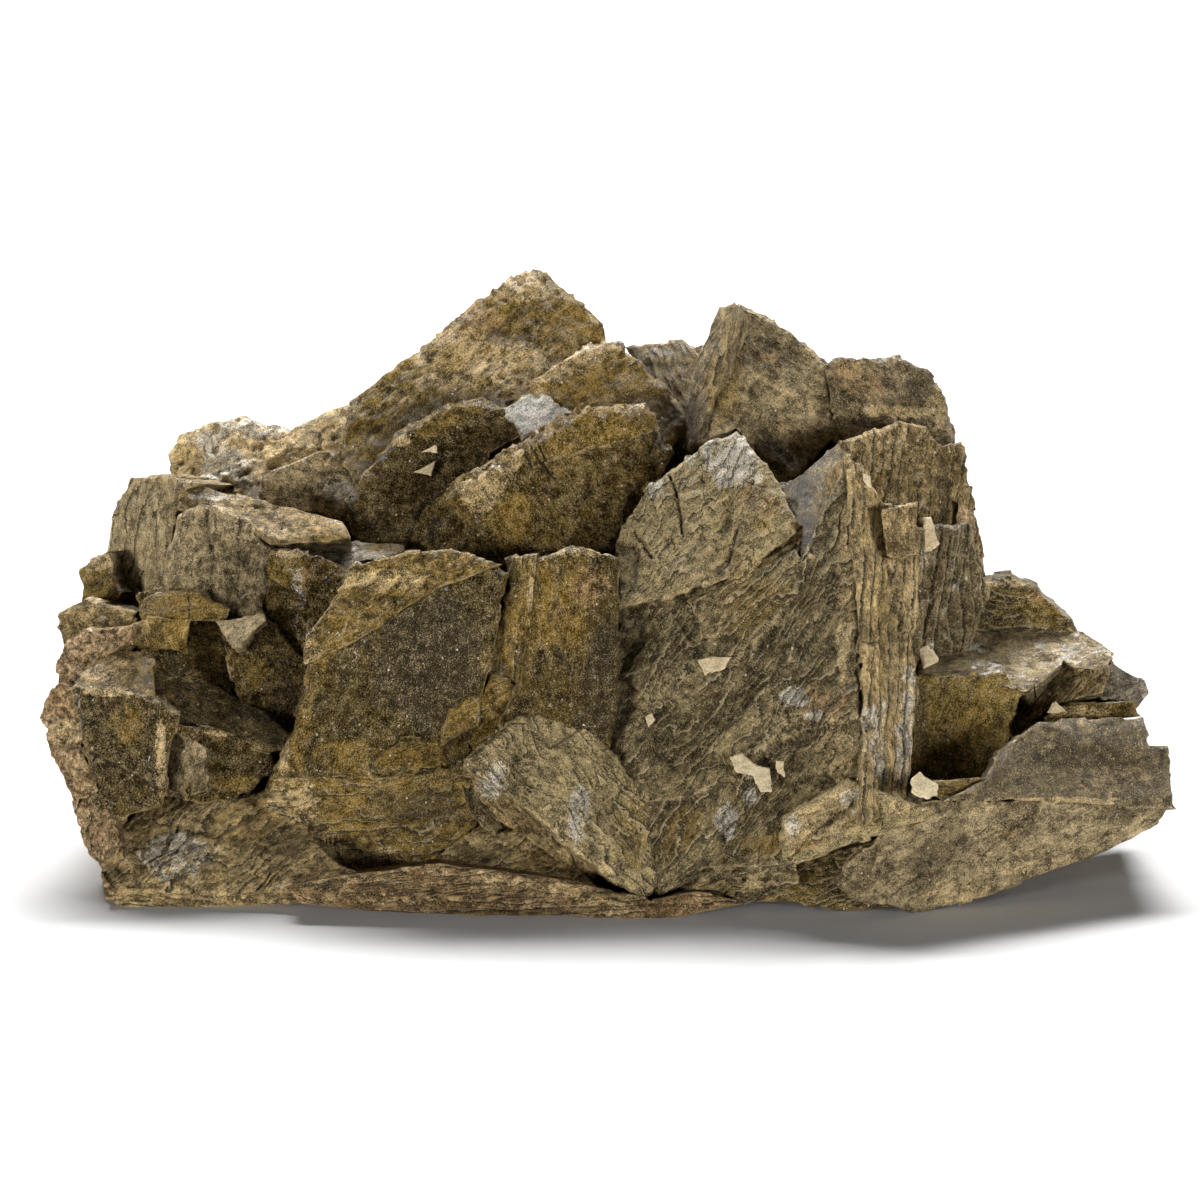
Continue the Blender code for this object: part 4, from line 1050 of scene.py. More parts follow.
def finish(name):
    """The material of that finish, made once: colour, roughness and bump of siderite or calcite.

    Colour: body to face by the clouds and the tone, then the stains laid over it, all times the streaks,
    then the worn crests, the hollows and the specks. The patterns follow the crystal's own grain."""
    material = bpy.data.materials.get(name)
    if material is not None:
        return material
    if name == "floor":
        return floor_material()
    colours = bpy.context.scene.siderite_colours
    manner = {**USUAL, **FINISHES[name]}
    shader = Shader(name)
    grain = shader.node("ShaderNodeAttribute", {"attribute_name": "grain"}, output=1)
    wear_and_highlight, hollow, tone = shader.attribute("wear")
    frost, rust, amber = shader.attribute("stain")
    dark, tan, width = shader.attribute("smear")
    level, strength, glow = shader.attribute("growth")

    # the patterns, from the widest to the finest
    cloud = shader.noise(grain, 0.22, 3)
    blotch = shader.noise(grain, 0.85, 5, 0.65)
    fine = shader.noise(grain, 4.5, 4, 0.7)
    grit = shader.noise(grain, 13, 2, 0.6)
    streak = shader.noise(shader.scaled(grain, 0.2, 1.0, 0.7), 2.6, 5, 0.7)
    pitch, draw, mosaic = manner["plate"]
    own, other, border = plate_mosaic(shader, grain, pitch, draw)

    # pale specks, which paint sparkle, and grains that are lighter or darker than their neighbours
    near = [shader.seeds(shader.moved(grain, fine), scale) for scale in SPECK_SCALES]
    lots = [
        shader.parts(shader.seeds(shader.moved(grain, fine), scale, output=1))[0] for scale in SPECK_SCALES
    ]
    grains = (lots[0] - 0.5) * 0.6 + (lots[1] - 0.5) * 0.8

    # the growth lines: a painted highlight along the raised edge where a layer begins, and a painted shadow
    # line at the bottom of the one before
    counted = level + (fine - 0.5) * 0.30 + (blotch - 0.5) * 0.5
    part = counted.sum("FRACT", counted)
    shown = (strength + (blotch - 0.5) * 1.7 + (own - 0.5) * 0.7).smooth(0.35, 0.85)
    lip_highlight = (1.0 - (part / width).smooth(0.5, 1.6)) * shown
    lip_shadow = (1.0 - ((1.0 - part) / width).smooth(0.5, 2.6)) * shown
    crack = (1.0 - border.smooth(0.0, 0.06)) * blotch.smooth(0.50, 0.62) * mosaic

    # the colour, from the body to what is laid over it
    depth = (cloud - 0.5) * 2.4 + (blotch - 0.5) * 1.3 + (streak - 0.5) * 0.8
    depth = depth + grains * manner["grains"] + tone + 0.42
    base = shader.mix(depth.clamped(), manner["body"], manner["face"])
    ragged = (blotch - 0.5) * 2.0 + (fine - 0.5) * 1.8 + (own - 0.5) * (1.4 * mosaic) + (streak - 0.5) * 1.0
    # Painted glow: thin rims and cloudy patches are lightened toward amber as if light shone through them,
    # laid on with the amber stains
    painted_glow = (glow + (cloud - 0.5) * 1.5) * (0.9 * manner["glow"])
    for stain, tint, share, broken in (
        (amber.most(painted_glow), colours.amber, 0.60, 0.35), (rust, colours.rust, 0.65, 1.0),
        (tan, colours.tan, 0.75, 1.0), (frost, colours.frost, 0.62, 1.2),
    ):
        laid_on = (stain * 0.85 + ragged * stain.smooth(0.0, 0.4) * broken).smooth(0.15, 1.15)
        base = shader.mix(laid_on * share, base, tuple(tint))

    shade = (streak - 0.5) * (4.5 * manner["streak"]) + (fine - 0.5) * 2.5 + (grit - 0.5) * 3.2
    shade = shade + (blotch - 0.5) * 1.6 + (other - 0.5) * (0.9 * mosaic) + grains * manner["grains"] + 1.0
    shade = (shade - 1.0) * manner["contrast"] + 1.0
    base = shader.mix(1.0, base, shader.colour(shade.most(0.20).least(2.6)), "MULTIPLY")

    # Crests and rims lightened toward tan, partly as wear and partly as a painted highlight, and the lips of
    # the growth lines lightened as a painted highlight
    crest_wear_and_highlight = ((wear_and_highlight + ragged * 0.6).smooth(0.30, 1.15) * 0.7 * manner["crest_wear_and_highlight"]).most(lip_highlight * manner["lip_highlight"])
    base = shader.mix(crest_wear_and_highlight, base, shader.mix(lip_highlight, tuple(colours.tan), LIP_HIGHLIGHT_COLOUR))
    # Darkened toward the dark fill: painted shade in hollows and painted shadow under the growth lines, with
    # the real dark fill of cracks and dark stains
    dirt_and_painted_shade = (hollow + (0.5 - fine) * 1.2).smooth(0.10, 0.95) * 0.75
    dirt_and_painted_shade = dirt_and_painted_shade.most((dark * 0.9 + ragged).clamped() * dark * 0.7)
    dirt_and_painted_shade = dirt_and_painted_shade.most(lip_shadow * 0.92).most(crack * 0.85)
    base = shader.mix(dirt_and_painted_shade * manner["hollow"], base, tuple(colours.dirt))

    # Painted glints, then pale specks that paint sparkle
    glint = (fine + (grit - 0.5) * 1.2 + (blotch - 0.5) * 0.6).smooth(0.58, 0.74)
    base = shader.mix(glint * (0.75 * manner["specks"]), base, GLINT_COLOUR)
    for away, lot, share in zip(near, lots, (0.12, 0.16)):
        sparkle_speck = (1.0 - away.smooth(0.12, 0.22)) * lot.smooth(1 - share * manner["specks"], 1.0)
        base = shader.mix((sparkle_speck * 1.2).clamped(), base, SPARKLE_SPECK_COLOUR)
    shader.feed(shader.surface.inputs["Base Color"], base)

    # the roughness, the fine bump and the thin coat
    gloss = manner["gloss"] + (fine - 0.5) * 0.5 + (blotch - 0.5) * 0.7 + dirt_and_painted_shade * 0.3 + frost * 0.1
    shader.feed(shader.surface.inputs["Roughness"], gloss.clamped())
    height = fine * 0.8 + grit * 0.4 + streak * (manner["streak"] * 1.2) + blotch * 0.6
    height = height + own * (0.4 * mosaic) + grains * 0.5 + (1.0 - part) * shown * 0.5
    height = height - lip_shadow * 0.4 - crack * 0.4
    bump = shader.node("ShaderNodeBump", {})
    made = bump.socket.node
    made.inputs["Strength"].default_value = 0.8
    made.inputs["Distance"].default_value = BUMP_HEIGHT
    shader.feed(made.inputs["Height"], height)
    shader.feed(shader.surface.inputs["Normal"], bump)
    for key, value in SURFACE.items():
        shader.surface.inputs[key].default_value = value
    coat = (cloud + (own - 0.5) * 0.5 + (fine - 0.5) * 1.2 - dirt_and_painted_shade * 0.5 + frost * 0.3).smooth(0.45, 0.85)
    shader.feed(shader.surface.inputs["Coat Weight"], coat * COAT_SHARE)
    return shader.material


# ---------------------------------------------------------------- the crystals, region by region
# crystal(name, outline on the board, depth, turn, lean, body, bevel, finish, carving and stains). A stain
# is (kind, across, up, half width, half height) or (kind, outline).


def left_end():
    """The blades, the rust rind and the small amber crystal at the left end."""
    crystal("left_slab", [(-59, 55), (-54, 55.2), (-50, 54.2), (-52.5, 53), (-54, 46), (-55, 40.5),
        (-59, 37.5), (-62, 45.5), (-61.5, 50)], 26, -38, 8, (6, 0, 16), 0.6, "grey_brown",
        relief=(crust(0.8, 0.07, 0.4), pits(1.1, 0.15, 0.4)), lines=(1.5, 0.23, 0.8, "slats"), grain=81,
        tone=0.5, stains=(("tan", -57, 54.6, 5, 0.9), ("dark", -59.5, 41, 2, 3)))
    crystal("grey_blade", [(-54, 46), (-53, 50.5), (-50, 52), (-47, 51), (-44, 49.5), (-41, 46),
        (-41.5, 42), (-42.4, 37.6), (-47, 37), (-55, 39.5)], 19, -10, 10, (2, 1.5, 14), 0.8, "grey_brown",
        relief=(groove([(-49.4, 51.5), (-48.6, 45), (-48.8, 38)], 0.9, 0.6), groove([(-45, 49.5),
        (-45.4, 39)], 0.8, 0.5), pits(1, 0.22, 0.5), crust(0.7, 0.1, 0.45)),
        lines=(2.6, 0.16, 0.8, "slats"), grain=80, tone=0.05,
        stains=(("tan", -47, 50.9, 6, 0.6),))
    crystal("grey_blade_top", [(-53, 51), (-53, 53), (-50, 54), (-37.5, 51), (-32, 49.5), (-31, 47.5),
        (-41, 46.5), (-46, 50)], 20.8, -5, 45, (2, -3, 12), 0.5, "tan",
        relief=(crust(0.9, 0.17, 0.7), pits(1.3, 0.2, 0.4)), lines=(2, 0.04, 0.8, "lips"), grain=-10,
        tone=-0.2, stains=(("frost", -48, 52.4, 4, 0.6), ("amber", -35, 48.6, 4, 1.8)))
    crystal("left_nub", [(-65.5, 43.5), (-62, 46), (-60, 40.5), (-61, 38.5), (-65, 39)], 24, -30, 5,
        (5, 0, 14), 0.8, "amber",
        relief=(rough(2, 0.3), pits(1.2, 0.15, 0.4)),
        stains=(("tan", -63, 44.5, 2.6, 1.5),))
    crystal("low_nub", [(-68.3, 37.5), (-64.5, 40), (-58, 38), (-59, 36), (-64, 35), (-67.5, 33.5)], 20,
        -30, 5, (6, 0, 16), 0.8, "tan",
        relief=(pits(1.1, 0.25, 0.6), crust(0.8, 0.08, 0.4)), tone=-0.1)
    crystal("amber_cap", [(-58, 38.5), (-57, 40), (-54, 41), (-51, 41), (-46.5, 38.5), (-47, 37),
        (-57.5, 37)], 17, -5, 25, (0, -1, 12), 0.5, "amber",
        relief=(groove([(-51.3, 41.2), (-51.2, 36.8)], 0.3, 0.25),), lines=(0.7, 0.07, 0.5, "lips"), grain=3,
        tone=0.6, stains=(("amber", -55, 39, 4, 2), ("amber", -49, 39, 3, 2)))
    crystal("amber_foot", [(-59, 36), (-56, 37), (-51.5, 37), (-52, 33), (-59, 34)], 16, 0, -12,
        (0, 1, 12), 0.4, "amber",
        under=0.5, lines=(1.2, 0.07, 0.4, "slats"), grain=88, tone=0.7,
        stains=(("tan", [(-59.5, 34), (-56.4, 34), (-56.2, 37), (-59, 36)]), ("amber", -53.5, 35, 2, 2)))
    crystal("pale_tip", [(-48, 37), (-42.5, 38), (-42, 37), (-45, 34), (-46, 34)], 13.2, -20, 40,
        (2, -2, 9), 0.3, "grey_brown",
        lines=(1.4, 0.03, 0.4, "lips"), grain=30, tone=0.9)
    crystal("tip_wedge", [(-46.5, 34.5), (-42, 37), (-39.5, 34), (-37, 31), (-37, 27), (-38, 22.5),
        (-41.5, 24), (-44.5, 28)], 16, 10, -5, (0, 0, 14), 0.5, "dark_amber",
        under=1.1, relief=(cracks(2.4, 0.2, 60),), lines=(1.6, 0.05, 0.7, "lips"), grain=58, tone=-0.35,
        stains=(("amber", -43, 30.5, 1.8, 2.6),))
    crystal("left_blade", [(-66, 28.5), (-61, 28.5), (-56, 27), (-53, 25), (-54, 21), (-54.8, 13.8),
        (-62, 11.8), (-63.5, 14.5), (-64.5, 21)], 8, -8, -4, (1, 4.3, 20), 0.8, "dark_amber",
        under=0.3, relief=(within([(-64.5, 21.5, 2.4, 9)], cracks(1.4, 0.25, 86, 3)), cracks(4, 0.15, 80),
        groove([(-63.6, 20.4), (-59, 18), (-55, 15.6)], 0.35, 0.4), crust(0.8, 0.07, 0.3)),
        lines=(2.2, 0.06, 0.5, "slats"), grain=87, tone=-1.4,
        stains=(("amber", -59, 24, 2.4, 3), ("tan", -54.9, 20, 0.7, 6), ("tan", -60.5, 28, 5, 0.6)))
    crystal("left_blade_top", [(-66, 28), (-64, 31.5), (-59.5, 34), (-56, 32.5), (-55.5, 27), (-61, 28)],
        11, -8, 45, (1, -2, 12), 0.5, "amber",
        relief=(crust(1.1, 0.14, 0.6), pits(1.4, 0.2, 0.4)), lines=(1.4, 0.05, 0.8, "lips"), grain=25,
        stains=(("tan", -62, 31, 4, 2),))
    crystal("left_blade_back", [(-56, 32.5), (-50, 29.5), (-42, 25.5), (-38, 22), (-42, 21), (-48, 23),
        (-54.5, 24), (-56, 27)], 14, 10, 45, (0, -4, 12), 0.5, "olive",
        under=0.7, relief=(crust(0.7, 0.06, 0.3),), lines=(0.8, 0.12, 0.9, "lips"), grain=-30, tone=-0.7,
        stains=(("tan", -50, 29.6, 6, 0.5), ("amber", [(-56, 28), (-53.5, 28.5), (-53, 25), (-55.5, 25)])))
    crystal("wedge_left", [(-54.5, 22), (-53.5, 23.5), (-50, 20.5), (-49.5, 16), (-51.5, 15), (-54, 16)],
        9, -40, 0, (4, 0, 14), 0.4, "grey_brown",
        under=0.4, lines=(1.5, 0.04, 0.4, "lips"), grain=72, tone=-0.1)
    crystal("wedge_right", [(-53.5, 23.5), (-48, 23), (-42, 21.5), (-41.5, 18.5), (-44.5, 15.5),
        (-49.5, 14.5), (-51.5, 15), (-50, 20.5)], 9.5, 15, 8, (0, 0, 14), 0.4, "dark_amber",
        under=0.7, relief=(pits(0.9, 0.08, 0.3),), lines=(2.2, 0.05, 0.6, "lips"), grain=40, tone=-0.8,
        stains=(("tan", -46, 22.8, 5, 0.4), ("amber", -46, 16.6, 4, 1.2)))
    crystal("rind_upper", [(-68.3, 31.5), (-67.3, 34), (-64, 36), (-59, 36.5), (-59.5, 34), (-64, 31.5),
        (-65.5, 28), (-68, 28)], 15, -35, 10, (6, 0, 16), 0.6, "rust",
        relief=(pits(1.6, 0.4, 0.5), crust(2.2, 0.35, 0.6)), tone=-0.1)
    crystal("rind_middle", [(-70.3, 25), (-69.3, 28), (-67.5, 29.5), (-65, 28), (-65, 21), (-63, 15.5),
        (-66, 14), (-69.3, 21)], 12, -45, 0, (7, 0, 20), 0.6, "rust",
        relief=(pits(1.6, 0.4, 0.5), crust(2.2, 0.35, 0.6)), tone=-0.15,
        stains=(("rust", -67.5, 26.5, 3, 2), ("tan", -67, 23, 3, 1.8)))
    crystal("rind_lower", [(-66.5, 14.5), (-63.5, 16), (-61.5, 13), (-60, 9), (-62, 5.5), (-64, 7.5),
        (-65.5, 11)], 10, -40, -5, (6, 0, 18), 0.5, "rust",
        relief=(pits(1.4, 0.3, 0.5),), lines=(1.6, 0.16, 0.9, "lips"), grain=70)
    crystal("floor_slab", [(-62.5, 5.5), (-61, 11), (-57.5, 13.5), (-54.5, 15.5), (-49.5, 14.5),
        (-45, 15), (-39.5, 17), (-38, 13), (-35.5, 9.5), (-32, 6.5), (-28, 4.5), (-39.5, 3), (-50, 3),
        (-61, 3)], 9.7, -5, 50, (0, -6, 10), 0.5, "tan",
        fine=1.3, relief=(plateau([(-58, 8), (-52.5, 10.5), (-48, 9.5), (-50, 6.5), (-56, 5.2)], 0.4),
        rough(3, 0.3)), lines=(1.7, 0.33, 1.1, "lips"), grain=33, tone=0.45,
        stains=(("amber", [(-60, 10.5), (-54, 15.6), (-50.5, 14.6), (-54, 11), (-58, 8.8)]),
        ("tan", -59.6, 9, 2, 2.4), ("frost", -53, 8, 5, 2.4), ("amber", -43, 12, 7, 3),
        ("dark", -40, 9, 5, 2), ("frost", [(-56.5, 6), (-51, 8.4), (-48.6, 7.6), (-50.5, 5), (-55, 4.4)]),
        ("rust", -61, 6.2, 1.6, 1)))
    crystal("floor_slab_edge", [(-62.5, 5.5), (-61, 3.5), (-50, 3.5), (-39.5, 3.5), (-37, 1.5), (-50, 1),
        (-59.5, 1), (-62, 2)], 3.2, 0, -6, (0, 2, 22), 0.3, "tan",
        lines=(0.7, 0.16, 0.7, "slats"), grain=0, tone=-0.1,
        stains=(("rust", -60.6, 2.8, 1.6, 0.9),))
    crystal("hollow_left", [(-57, 40), (-44, 41.5), (-38, 40), (-38, 32), (-39, 22), (-48, 22),
        (-57, 29)], 19.5, 8, 14, (0, 0, 10), 0.6, "dark_amber",
        under=1, relief=(rough(3, 0.8), crust(0.9, 0.2, 0.5)), tone=-0.1)


def upper_left():
    """The frosted mass, the rough crystal and the ledges between them and the tall blade."""
    crystal("upper_left_mass", [(-54.3, 57.5), (-52.3, 60.7), (-45, 63.2), (-39, 61.2), (-31, 64.7),
        (-28.5, 59.5), (-35, 58), (-42, 54), (-43, 51.5), (-53, 54)], 38, -15, 35, (4, -6, 18), 1, "tan",
        relief=(crust(1, 0.24, 0.7), pits(1.6, 0.35, 0.4), rough(3, 0.7)), lines=(3, 0.05, 0.9, "lips"),
        grain=30, tone=1.4, stains=(("frost", [(-50.6, 60), (-48.8, 60.8), (-46.5, 59.7), (-45.2, 57.9),
        (-44.5, 56.1), (-42.9, 54.3), (-43.4, 52.5), (-45.6, 53.4), (-48.3, 54.3), (-49.7, 56.1),
        (-50.3, 57.9)]), ("frost", -43, 61.4, 6, 1.8), ("frost", -47, 56.5, 3.6, 3),
        ("rust", -41, 60.3, 2, 1.2), ("frost", -36.5, 62.4, 3, 0.8)))
    crystal("rough_crystal", [(-43, 53), (-42, 55), (-38.5, 57), (-35, 58.5), (-32, 58.5), (-28.5, 54),
        (-28.5, 51), (-30.5, 49), (-35, 50), (-42.5, 51.5)], 30, -5, 15, (2, -2, 14), 0.7, "grey_brown",
        relief=(crust(0.8, 0.15, 0.55), pits(1.3, 0.3, 0.5), rough(2.5, 0.4)), tone=0.1,
        stains=(("frost", [(-34.8, 54.3), (-31, 55), (-28.8, 53), (-29, 50.4), (-32.4, 50), (-34.6, 51.8)]),
        ("tan", -37, 57, 5, 0.8)))
    crystal("ledge_top", [(-41, 46), (-39, 47), (-34.5, 46.5), (-30, 44.5), (-31, 42.5), (-35, 43.5)],
        18.5, 0, 60, (0, -3, 9), 0.3, "pale_grey",
        lines=(0.9, 0.05, 0.6, "lips"), tone=-0.3,
        stains=(("frost", -36, 45, 4, 0.6), ("amber", -38, 46, 1, 1)))
    crystal("ledge_top_back", [(-36.5, 47), (-30, 47), (-24.5, 46.5), (-25, 45), (-32.5, 44.5),
        (-34.5, 46)], 21, 0, 60, (0, -3, 9), 0.3, "pale_grey",
        lines=(0.9, 0.05, 0.6, "lips"), tone=-0.3,
        stains=(("amber", -27, 45.8, 3, 1),))
    crystal("ledge_front", [(-42, 43.5), (-41, 45.5), (-38, 45.5), (-35, 44), (-31, 42.5), (-34.5, 38.5),
        (-36.5, 35.5), (-37, 31.5), (-39.5, 34.5), (-42, 38), (-43, 40.5)], 17, -15, -3, (0, 0, 14), 0.5,
        "dark_amber",
        under=0.7, relief=(groove([(-42, 42.5), (-37.5, 39.7)], 0.3, 0.3),), lines=(1.5, 0.05, 0.5, "slats"),
        grain=82, tone=-0.35, stains=(("amber", [(-41, 45.5), (-36.6, 45), (-36.4, 41), (-39.5, 40.6),
        (-42.4, 42)]), ("tan", -38, 45.3, 4, 0.5)))


def summit():
    """The two peaks, the right shoulder and the blades that lean against them."""
    crystal("peak", [(-33, 59), (-31.2, 64.7), (-23, 71), (-15, 77.4), (-9.5, 81.3), (-7, 80.8),
        (-2, 76.8), (0.5, 74.3), (1, 71.5), (0, 62), (-15, 58), (-30, 52)], 33, -8, 28, (1, -3, 14), 0.8,
        "amber",
        relief=(crust(0.75, 0.1, 0.5), crust(1.7, 0.21, 0.35), pits(1.2, 0.25, 0.4), rough(4, 0.7)),
        lines=(1.4, 0.03, 0.8, "lips"), grain=37, tone=0.6,
        stains=(("tan", -9.5, 79, 3.4, 2.6), ("tan", -21, 72, 9, 1.6), ("tan", -13, 69, 12, 4),
        ("dark", -12.6, 72.5, 1.8, 1.4), ("tan", [(-13, 68.2), (-11.4, 70), (-9.2, 70.4), (-8.6, 68.6),
        (-10.6, 67.2)]), ("dark", [(-27, 62), (-20, 66), (-14.5, 66.5), (-12, 64), (-25, 55), (-30, 56)]),
        ("rust", -15, 74, 4, 2.4)))
    crystal("peak_step", [(-9, 67), (-5, 69.5), (-1, 72), (1, 72), (4, 70.5), (7, 67.5), (10.5, 64),
        (11.5, 61.5), (9, 58.5), (-7.5, 60.5)], 29, 5, 25, (0, -2, 12), 0.7, "amber",
        relief=(crust(0.7, 0.11, 0.5), pits(1.1, 0.2, 0.4), crust(1.5, 0.17, 0.3)),
        lines=(1.2, 0.03, 0.8, "lips"), grain=33, tone=0.6,
        stains=(("tan", [(-8.6, 66.4), (-5.8, 68.4), (-3, 71), (1.5, 72.4), (3.6, 70.8), (-1.5, 68.6),
        (-5, 66.4)]), ("dark", [(4, 60), (11, 60), (11, 64), (5, 66.5), (1, 64)])))
    crystal("back_plate", [(4, 71), (6.5, 71.5), (10, 71.5), (12.5, 70), (12.5, 67), (11, 63.5),
        (7, 66)], 32, 8, 28, (0, -1, 12), 0.5, "grey_brown",
        under=0.6, lines=(1.1, 0.13, 0.9, "lips"), grain=-60, tone=0.5,
        stains=(("frost", 9, 70.6, 3, 0.7),))
    crystal("dark_blade", [(-25.5, 60), (-20, 63.5), (-15, 65), (-12, 63), (-10, 60.5), (-14.5, 58),
        (-15, 55.5), (-19, 53.5), (-22, 50.5), (-25, 46), (-30, 47), (-32, 52), (-29, 55.5)], 25, -5, 12,
        (0, -2, 14), 1.5, "dark_amber",
        under=0.5, relief=(cracks(3, 0.12, 40), crust(0.8, 0.04, 0.3)), tone=-0.7,
        stains=(("amber", [(-25, 61), (-21.3, 63.2), (-16.8, 65.6), (-14.2, 65.6), (-12.8, 63.8),
        (-15, 62.6), (-18.6, 60.5), (-22.2, 59.4)]), ("tan", -25, 59.5, 1.4, 1),
        ("tan", -17, 64.9, 4, 0.25)))
    crystal("pale_facet", [(-12, 63.5), (-8, 65.5), (-6.5, 64.5), (-4, 63), (-4.5, 62), (-9.5, 60)], 26,
        0, 35, (0, -2, 8), 0.3, "pale_grey",
        under=0.4, lines=(1.2, 0.03, 0.8, "lips"), grain=30, tone=0.15,
        stains=(("frost", -8, 63.5, 3, 1.6),))
    bright_top = [
        (-9.6, 60), (-6, 63), (-1.5, 65), (6, 65), (8.4, 61), (3, 59.2), (-1.5, 58.1), (-5.1, 57),
        (-8.3, 55.8),
    ]
    crystal("centre_blade", [(-19, 53), (-17, 55), (-9, 59.5), (-5, 62.5), (0, 63.5), (5.5, 64), (9, 58),
        (5, 52.5), (3, 49.5), (2, 45.5), (-7.5, 45.5), (-12, 44), (-15, 47)], 19, 3, 8, (0, -2, 16), 2.2,
        "dark_amber",
        under=0.6, relief=(within([(-14.2, 54.6, 4.5, 3.6)], crust(0.8, 0.21, 0.7)), cracks(4.5, 0.1, -55),
        groove([(-9.3, 59.8), (-7.4, 56.6), (-5, 54)], 0.3, 0.4), groove([(-8.6, 60), (-6.6, 57)], 0.25,
        0.3), plateau(bright_top, 0.5)), lines=(3.2, 0.05, 0.5, "slats"), grain=-60,
        stains=(("amber", bright_top), ("tan", [(-18.6, 54.3), (-15, 56), (-11, 58.8), (-9.6, 58.3),
        (-9.2, 56.7), (-11, 54.5), (-13.2, 51.6), (-15, 49.8), (-18.2, 53.4)]), ("amber", [(-15, 49.8),
        (-13.2, 51.6), (-9, 53), (-8, 48), (-11.8, 44.6)]), ("tan", 0, 63.8, 6, 0.3)))
    crystal("centre_flank", [(-25, 46), (-22, 50.5), (-19, 53), (-15, 47), (-12, 44), (-16, 44),
        (-21, 45)], 21, -35, 0, (3, 0, 14), 0.4, "dark_amber",
        under=0.6, lines=(2.6, 0.04, 0.5, "lips"), grain=50, tone=-0.5)
    crystal("right_peak", [(16.5, 77), (20, 75.5), (24, 73.5), (28.5, 69), (29, 64.5), (30, 60.5),
        (25, 55.5), (22, 54), (19.5, 58.5), (17, 61), (13, 59.5), (14, 65), (15.5, 71)], 27, 12, 22,
        (2, -4, 16), 0.7, "grey_brown",
        relief=(crust(0.8, 0.1, 0.5), pits(1.2, 0.2, 0.4), rough(3, 0.5)), lines=(1.5, 0.06, 1, "lips"),
        grain=-38, tone=0.05, stains=(("amber", [(14.6, 69.8), (17.4, 70.6), (18, 67), (17, 62),
        (14.2, 60.4)]), ("tan", 20, 74.8, 5, 0.7), ("tan", [(19.6, 67.2), (22.4, 66.8), (27.4, 63.4),
        (27.6, 62), (23, 64.6)]), ("rust", 21, 69.8, 2.6, 0.8), ("tan", 24, 60.4, 3, 1.6),
        ("dark", 21, 57, 3, 3)))
    crystal("right_peak_flank", [(16.5, 77), (14.5, 76), (12, 70), (10.5, 64), (9.5, 59.5), (11, 58),
        (13, 59.5), (14, 65), (15.5, 71)], 26, -58, 20, (6, -4, 14), 0.5, "grey_brown",
        lines=(1.3, 0.23, 0.7, "slats"), grain=64, tone=-0.05,
        stains=(("tan", 15.4, 74, 1, 4), ("dark", 12, 62, 2, 4), ("amber", 13.8, 67, 1, 4)))
    crystal("right_shoulder", [(28, 69.2), (30, 70.2), (38, 70.2), (41.5, 68.5), (43.5, 65),
        (44.6, 60.5), (45.2, 55.5), (37.5, 58), (30, 58.5), (29, 64.5)], 30, 18, 18, (0, -3, 16), 1,
        "grey_brown",
        relief=(crust(0.8, 0.08, 0.45), pits(1.2, 0.2, 0.4), rough(3, 0.6)), lines=(1.7, 0.06, 1, "lips"),
        grain=-50, tone=-0.25, stains=(("rust", [(28.6, 69.4), (31, 70), (35, 67), (35.6, 64.6), (31.4, 65),
        (29.2, 66.6)]), ("tan", 37, 63, 5, 1), ("tan", 42.4, 64, 1.2, 4), ("dark", 40, 66, 3, 1.4)))


